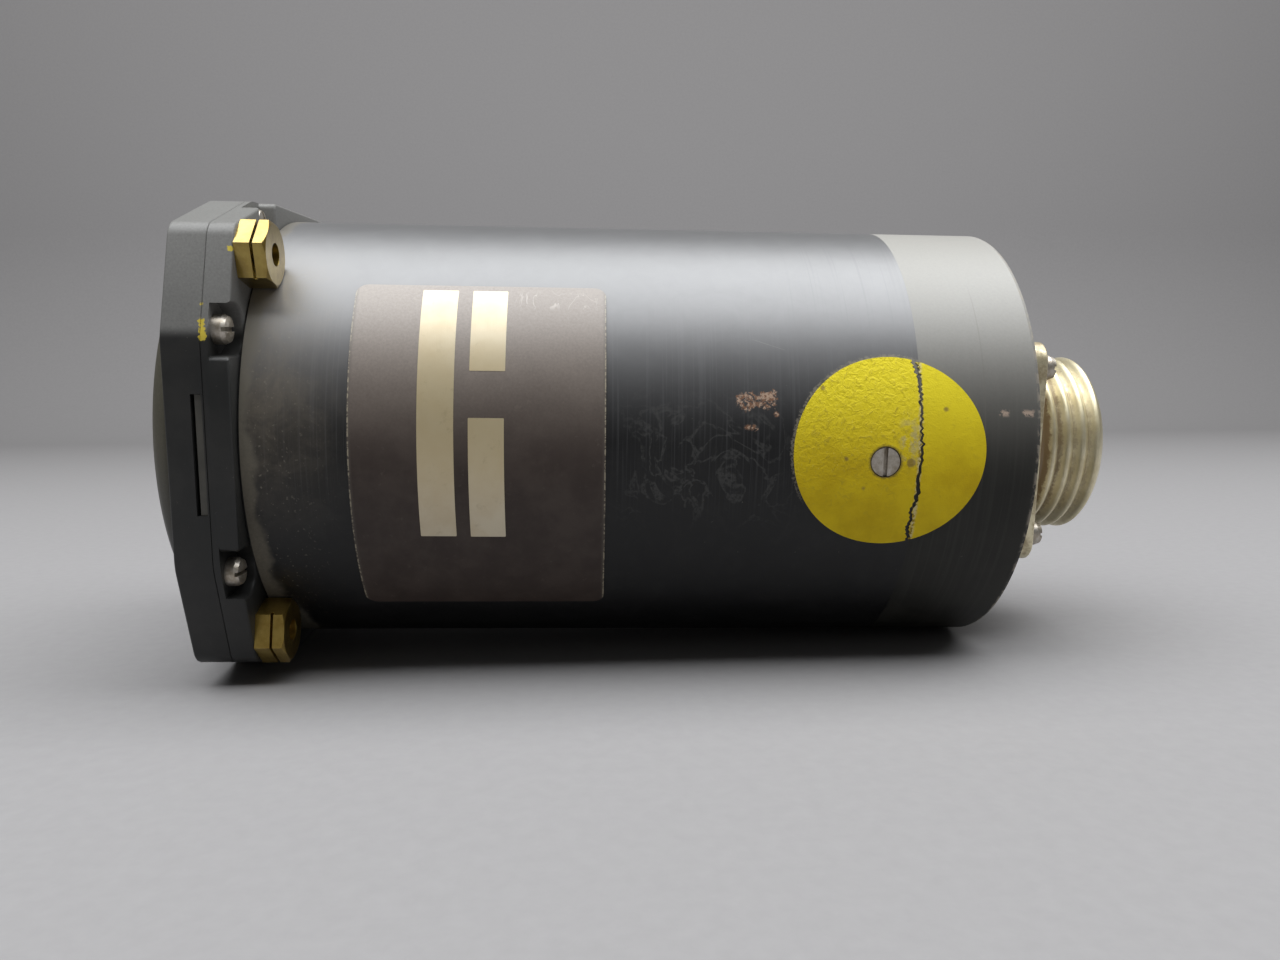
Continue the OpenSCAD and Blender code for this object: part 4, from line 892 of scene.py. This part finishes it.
def add_bezel(material):
    """The flange's front part with its ring, the glass's seat, the holes and the lamp tray's slot."""
    obj = flange_slab("bezel", 0, BEZEL_T, FACE_EDGE, PARTING_EDGE)
    front, shoulder, lip, inside = -RING_H, RING_R - RING_SLOPE, APERTURE_R + LIP_FRONT_W, 0.5
    ring = turned("bezel_ring", [
        (inside, RING_R), (0.2 - RING_LAND, RING_R), (-RING_LAND - 0.1, RING_R - 0.06),
        (front * 0.7, RING_R - RING_SLOPE * 0.35), (front + 0.22, shoulder + 0.15),
        (front + 0.05, shoulder - 0.12), (front, shoulder - 0.45), (front, lip + 0.4), (front + 0.08, lip),
        (LIP_X - 0.8, APERTURE_R + 0.1), (LIP_X - 0.65, APERTURE_R), (inside, APERTURE_R)], 160)
    combine(obj, [ring], "UNION")
    before, clear, behind, core_r = -6, -2, 8, 5
    groove_r, groove_x = RECESS_R + SNAP_GROOVE, SNAP_X + SNAP_W
    window = turned("window", [
        (before, core_r), (behind, core_r), (behind, RECESS_R), (groove_x, RECESS_R), (groove_x, groove_r),
        (SNAP_X, groove_r), (SNAP_X, RECESS_R), (LIP_X, RECESS_R), (LIP_X, APERTURE_R),
        (before, APERTURE_R)], 160)
    core = bar("core", core_r * 2, before, behind)
    cutters = [window, core] + corner_cutters(HOLE_AT, HOLE_R, clear, behind, 32)
    cutters += [bar("screw_hole", SCREW_HOLE_R, SCREW_END_X, behind, y, z, 24) for y, z, _ in screw_places()]
    cutters.append(block("slot", SLOT_X, (-FLANGE_R - 1, -FLANGE_R + SLOT_DEPTH), (-SLOT_HALF, SLOT_HALF)))
    combine(obj, cutters)
    finished(obj, "housing", material, ("front_bezel",))


def add_glass(material):
    """The cover glass, with ground edges, a hair clear of what it lies between."""
    low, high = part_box("cover_glass")
    x0, x1, r = low[0] / MM + GLASS_CLEAR, high[0] / MM - GLASS_CLEAR, high[1] / MM
    sections = ((x0, r - GLASS_BEVEL), (x0 + GLASS_BEVEL, r), (x1 - GLASS_BEVEL, r), (x1, r - GLASS_BEVEL))
    disc = loft("glass", [circle(x, radius, 128) for x, radius in sections])
    finished(disc, "housing", material, ("cover_glass",), 20)


def pocket_cutter(y, z, side, steps=24):
    """A screw's pocket: round towards the middle and open outwards, with flared lips."""
    edge = FLANGE_R - SCREW_A
    lip = [(edge - 1.0, 0), (edge - 0.5, 0.13), (edge - 0.13, 0.5), (edge + 0.1, 1.1), (12, 1.1)]
    flare = [(POCKET_X, 0), (PLATE_X - 0.5, 0), (PLATE_X - 0.25, 0.06), (PLATE_X - 0.05, 0.25),
             (PLATE_X + 0.1, 0.5)]
    c, s = math.cos(math.radians(90 * side)), math.sin(math.radians(90 * side))
    turns = [math.radians(90 + 180 * k / steps) for k in range(steps + 1)]
    rings = []
    for x, wider in flare:
        r = POCKET_R + wider
        ring = [(r * math.cos(a), r * math.sin(a)) for a in turns]
        ring += [(u, -r - v) for u, v in lip] + [(u, r + v) for u, v in reversed(lip)]
        rings.append([(x, y + u * c - v * s, z + u * s + v * c) for u, v in ring])
    return loft("pocket", rings)


def add_plate(material):
    """The flange's rear part with its register, the holes and the pockets for the screws."""
    obj = flange_slab("plate", BEZEL_T, PLATE_X, PARTING_EDGE, FACE_EDGE)
    inside, bevel = PLATE_X - 1, 0.3
    register = turned("register", [
        (inside, REGISTER_R), (REGISTER_X - bevel, REGISTER_R), (REGISTER_X, REGISTER_R - bevel),
        (REGISTER_X, REGISTER_IN_R), (inside, REGISTER_IN_R)], 128)
    combine(obj, [register], "UNION")
    before, behind = 4, 12
    cutters = [bar("bore", PLATE_BORE_R, before, behind, n=128)]
    cutters += corner_cutters(HOLE_AT, HOLE_R, before, behind, 32)
    cutters += corner_cutters(HOLE_AT, FERRULE_R, PLATE_X - FERRULE_LEN, behind, 32)
    for y, z, side in screw_places():
        cutters.append(bar("screw_hole", SCREW_HOLE_R, before, behind, y, z, 24))
        cutters.append(pocket_cutter(y, z, side))
    combine(obj, cutters)
    finished(obj, "housing", material, ("mounting_plate",))


def add_label(foil, bare):
    """The data plate's sheet, and its windows: patches of bare foil that stand a hair above it."""
    stations = rounded_stations(*LABEL_X, *LABEL_ANGLES, LABEL_CORNER)
    plate = curved_patch("label_plate", stations, CASE_R, CASE_R + LABEL_T, 12)
    finished(plate, "housing", foil, ("data_plate",), 50)
    for k, window in enumerate(WINDOWS):
        patch = curved_patch(f"label_window_{k + 1}", rounded_stations(*window, WINDOW_CORNER), *WINDOW_R, 6)
        finished(patch, "housing", bare, (), 50)


def looked_up(table, angle):
    """The value at an angle, in a table whose angles fall."""
    for (a0, v0), (a1, v1) in zip(table, table[1:]):
        if a0 >= angle >= a1:
            return v0 + (v1 - v0) * (a0 - angle) / (a0 - a1)
    return table[0][1] if angle > table[0][0] else table[-1][1]


def seal_stations(count=96):
    """The round seal's parts before and behind the tear, as stations."""
    centre_x, centre_angle = SEAL_CENTRE
    front, rear = [], []
    for i in range(count + 1):
        t = -math.cos(math.pi * i / count)
        angle = centre_angle + t * SEAL_R / PER_DEGREE
        chord = math.sqrt(max(0.02, SEAL_R ** 2 - (t * SEAL_R) ** 2))
        ragged = sum(size * math.sin(angle * pace + start)
                     for size, pace, start in ((0.16, 5.3, 0), (0.12, 11.7, 1), (0.08, 23.1, 2)))
        middle, half = looked_up(TEAR, angle) + ragged, looked_up(TEAR_GAP, angle) / 2
        x0, x1 = centre_x - chord, centre_x + chord
        front.append((angle, x0, max(x0 + 0.05, min(x1, middle - half))))
        if x1 > middle + half + 0.1:
            rear.append((angle, middle + half + 0.05 * math.sin(angle * 17), x1))
    return front, rear


def add_seal(material):
    front, rear = seal_stations()
    front_piece = curved_patch("seal_front", front, CASE_R, CASE_R + SEAL_T, 24)
    hole = bar("seal_hole", SEAL_HOLE_R, 0, 12, n=40)
    hole.data.transform(Matrix.Rotation(math.radians(90), 4, "Z"))
    hole.data.transform(Matrix.Translation((SCREW_HOLE[0] * MM, -(CASE_R + 6) * MM, 0)))
    hole.data.transform(Matrix.Rotation(-math.radians(SCREW_HOLE[1]), 4, "X"))
    combine(front_piece, [hole])
    rear_piece = curved_patch("seal_rear", rear, CASE_R, CASE_R + SEAL_T, 24)
    for piece in (front_piece, rear_piece):
        finished(piece, "housing", material, ("inspection_seal",), 60)


def thread_profile(steps=10):
    """X and radius along the shell's rounded threads."""
    start = CONN_RIM_X - THREAD_PITCH * THREAD_COUNT
    last = THREAD_COUNT * steps
    profile = []
    for i in range(last + 1):
        crest = (0.5 - 0.5 * math.cos(2 * math.pi * i / steps)) ** 0.75
        bevel = 0.12 if i == last else 0
        profile.append((start + THREAD_PITCH * i / steps - bevel,
                        CONN_ROOT_R + (CONN_CREST_R - CONN_ROOT_R) * crest))
    return profile


def add_connector(material):
    x0, x1 = CONN_FLANGE_X
    w = CONN_W / 2
    square = [(w, -w), (w, w), (-w, w), (-w, -w)]
    obj = rounded_slab("connector", square, [CONN_CORNER_R] * 4, x0, x1, 0.25, 0.4)
    back, back_r, neck_r, floor_r = x0 - CONN_BACK, 15.3, CONN_ROOT_R + 0.6, SOCKET_R - 0.6
    profile = [(back, back_r), (x0 + 1, back_r), (x0 + 1, neck_r), (x1 + 0.02, neck_r),
               (x1 + 0.3, CONN_ROOT_R + 0.15)]
    profile += thread_profile()
    profile += [(CONN_RIM_X, CONN_ROOT_R - 0.25), (CONN_RIM_X, SOCKET_R + 0.25), (CONN_RIM_X - 0.2, SOCKET_R),
                (SOCKET_X, SOCKET_R), (SOCKET_X, floor_r), (back, floor_r)]
    shell = turned("connector_tube", profile, 128)
    combine(obj, [bar("bore", SOCKET_R - 0.3, x0 - 1, x1 + 1, n=96)])
    combine(obj, [shell], "UNION")
    cutters = corner_cutters(CONN_SCREW_AT, SCREW_HOLE_R, 140, 152, 24)
    cutters.append(block("key", (SOCKET_X, CONN_RIM_X + 1), (-1.2, 1.2), (SOCKET_R - 0.7, SOCKET_R + 0.7)))
    combine(obj, cutters)
    obj.data.transform(Matrix.Translation((0, 0, CONN_DROP * MM)))
    finished(obj, "housing", material, ("connector_shell",))


def dial_bars(name, bars, x):
    """Raised flat marks: each is (degrees clockwise from the top, inner radius, outer radius, width)."""
    verts, faces = [], []
    for clock, r0, r1, w in bars:
        c, s = math.cos(math.radians(clock)), math.sin(math.radians(clock))
        base = len(verts)
        for depth in (x, x - MARK_T):
            for r, side in ((r0, w / 2), (r0, -w / 2), (r1, -w / 2), (r1, w / 2)):
                verts.append((depth, -r * s - side * c, r * c - side * s))
        faces += [tuple(base + k for k in face) for face in
                  ((0, 1, 2, 3), (4, 5, 6, 7), (0, 1, 5, 4), (1, 2, 6, 5), (2, 3, 7, 6), (3, 0, 4, 7))]
    return mesh_object(name, verts, faces)


def add_number(tens, material):
    """A plain number on the card, which counts tens of degrees."""
    curve = bpy.data.curves.new("card_number", "FONT")
    curve.body = str(tens)
    curve.size = NUMBER_SIZE * MM
    curve.extrude = NUMBER_T * MM
    curve.align_x = "CENTER"
    curve.align_y = "CENTER"
    text = link(bpy.data.objects.new("card_number", curve))
    mesh = evaluated_mesh(text)
    bpy.data.objects.remove(text)
    facing = Matrix(((0, 0, -1, 0), (-1, 0, 0, 0), (0, 1, 0, 0), (0, 0, 0, 1)))
    turn = Matrix.Rotation(math.radians(tens * 10), 4, "X")
    lift = Matrix.Translation(((CARD_X - NUMBER_T) * MM, 0, NUMBER_R * MM))
    mesh.transform(turn @ lift @ facing)
    number = link(bpy.data.objects.new(f"card_number_{tens}", mesh))
    number.data.materials.append(material)
    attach(number, "card")


def add_dial(white):
    marks = []
    for k in range(72):
        r, width = SHORT_MARK if k % 2 else LONG_MARK
        marks.append((k * 5, r, MARK_END_R, width))
    finished(dial_bars("card_graduations", marks, CARD_X), "card", white)
    for tens in range(0, 36, 3):
        add_number(tens, white)
    index = [(k * 45, 27.7, 30.6, 0.8) for k in range(1, 8)] + [(0, 27.6, 30.8, 1.3)]
    finished(dial_bars("index_marks", index, INDEX_X), "housing", white)
    cap = turned("needle_cap", [(2.05, 0.02), (2.05, 1.0), (2.25, 1.5), (2.7, 1.6), (2.7, 0.02)], 48)
    # The cap wears the plain steel that came with the loaded nodes
    finished(cap, "single_pointer", bpy.data.materials["shaft_steel"])


# Stage

def level_matrix():
    """From the level frame of the photograph to the part's own."""
    return Matrix.Translation((LEVEL_X * MM, 0, 0)) @ Matrix.Rotation(-CASE_ROLL, 4, "X")


def add_floor():
    """A pale sweep under the part, which rests on the flange's lower edge and on the cap."""
    half_width, front, depth, height, bend, steps = 2.2, -1.6, 0.88, 0.9, 0.22, 15
    turns = [math.pi / 2 * k / steps for k in range(1, steps + 1)]
    profile = [(front, 0.0), (depth - bend, 0.0)]
    profile += [(depth - bend * (1 - math.sin(a)), bend * (1 - math.cos(a))) for a in turns]
    profile.append((depth, height))
    verts, faces = [], []
    for y, z in profile:
        verts += [(-half_width, y, z), (half_width, y, z)]
    for k in range(len(profile) - 1):
        faces.append((2 * k, 2 * k + 1, 2 * k + 3, 2 * k + 2))
    mesh = bpy.data.meshes.new("floor")
    mesh.from_pydata(verts, [], faces)
    mesh.shade_smooth()
    obj = link(bpy.data.objects.new("floor", mesh))
    slope = math.atan2(FLANGE_TOUCH[1] - CAP_TOUCH[1], CAP_TOUCH[0] - FLANGE_TOUCH[0])
    touch = Matrix.Translation((FLANGE_TOUCH[0] * MM, 0, -FLANGE_TOUCH[1] * MM))
    obj.matrix_world = level_matrix() @ touch @ Matrix.Rotation(-slope, 4, "Y")
    p = Paint("floor_grey")
    grain = p.noise(2.5, 4, 0.6)
    p.put(Base_Color=p.mix(grain, (0.275, 0.268, 0.27), (0.315, 0.308, 0.31)), Roughness=0.85,
          Specular_IOR_Level=0.2)
    p.relief(grain, 0.05, 0.3)
    obj.data.materials.append(p.material)


def add_light(name, size, at, aim, radiance, tint=(1, 1, 1)):
    """A rectangular lamp that looks at aim; radiance is in units where white is 1."""
    lamp = bpy.data.lights.new(name, "AREA")
    lamp.shape = "RECTANGLE"
    lamp.size, lamp.size_y = size
    lamp.energy = radiance * math.pi * size[0] * size[1]
    lamp.color = tint
    obj = link(bpy.data.objects.new(name, lamp))
    obj.location = at
    obj.rotation_mode = "QUATERNION"
    obj.rotation_quaternion = (Vector(aim) - Vector(at)).to_track_quat("-Z", "Y")
    obj.visible_camera = False


def add_lights():
    """A broad lamp close above, one on the backdrop, and a little light from all round."""
    add_light("overhead", size=(1.5, 0.52), at=(0.08, -0.06, 0.62), aim=(0.075, 0, 0), radiance=4.8,
              tint=(0.96, 0.98, 1.0))
    add_light("backdrop", size=(2.4, 0.3), at=(0.08, 0.35, 0.85), aim=(0.08, 0.9, 0.25), radiance=2.9)
    world = bpy.data.worlds.new("studio")
    bpy.context.scene.world = world
    world.use_nodes = True
    back = world.node_tree.nodes["Background"]
    back.inputs["Color"].default_value = (1.0, 0.99, 0.97, 1)
    back.inputs["Strength"].default_value = 0.10


def add_camera():
    data = bpy.data.cameras.new("camera")
    data.sensor_fit = "HORIZONTAL"
    data.sensor_width = SENSOR_W
    data.lens = FOCAL_PX / IMAGE_W * SENSOR_W
    data.clip_start, data.clip_end = 0.01, 20
    camera = link(bpy.data.objects.new("camera", data))
    turn = (Matrix.Rotation(CAMERA_YAW, 4, "Z") @ Matrix.Rotation(CAMERA_PITCH, 4, "X")
            @ Matrix.Rotation(CAMERA_ROLL, 4, "Y") @ Matrix.Rotation(math.pi / 2, 4, "X"))
    place = Matrix.Translation(Vector(CAMERA_AT) * MM)
    camera.matrix_world = level_matrix() @ place @ turn
    bpy.context.scene.camera = camera


add_camera()
materials = all_materials()
dress_nodes(materials)
add_bezel(materials["flange_black"])
add_glass(materials["cover_glass"])
add_plate(materials["flange_black"])
add_label(materials["label_foil"], materials["window_foil"])
add_seal(materials["seal_paper"])
add_connector(materials["connector_metal"])
add_dial(materials["dial_white"])
add_floor()
add_lights()
bpy.context.scene.view_settings.view_transform = "Standard"
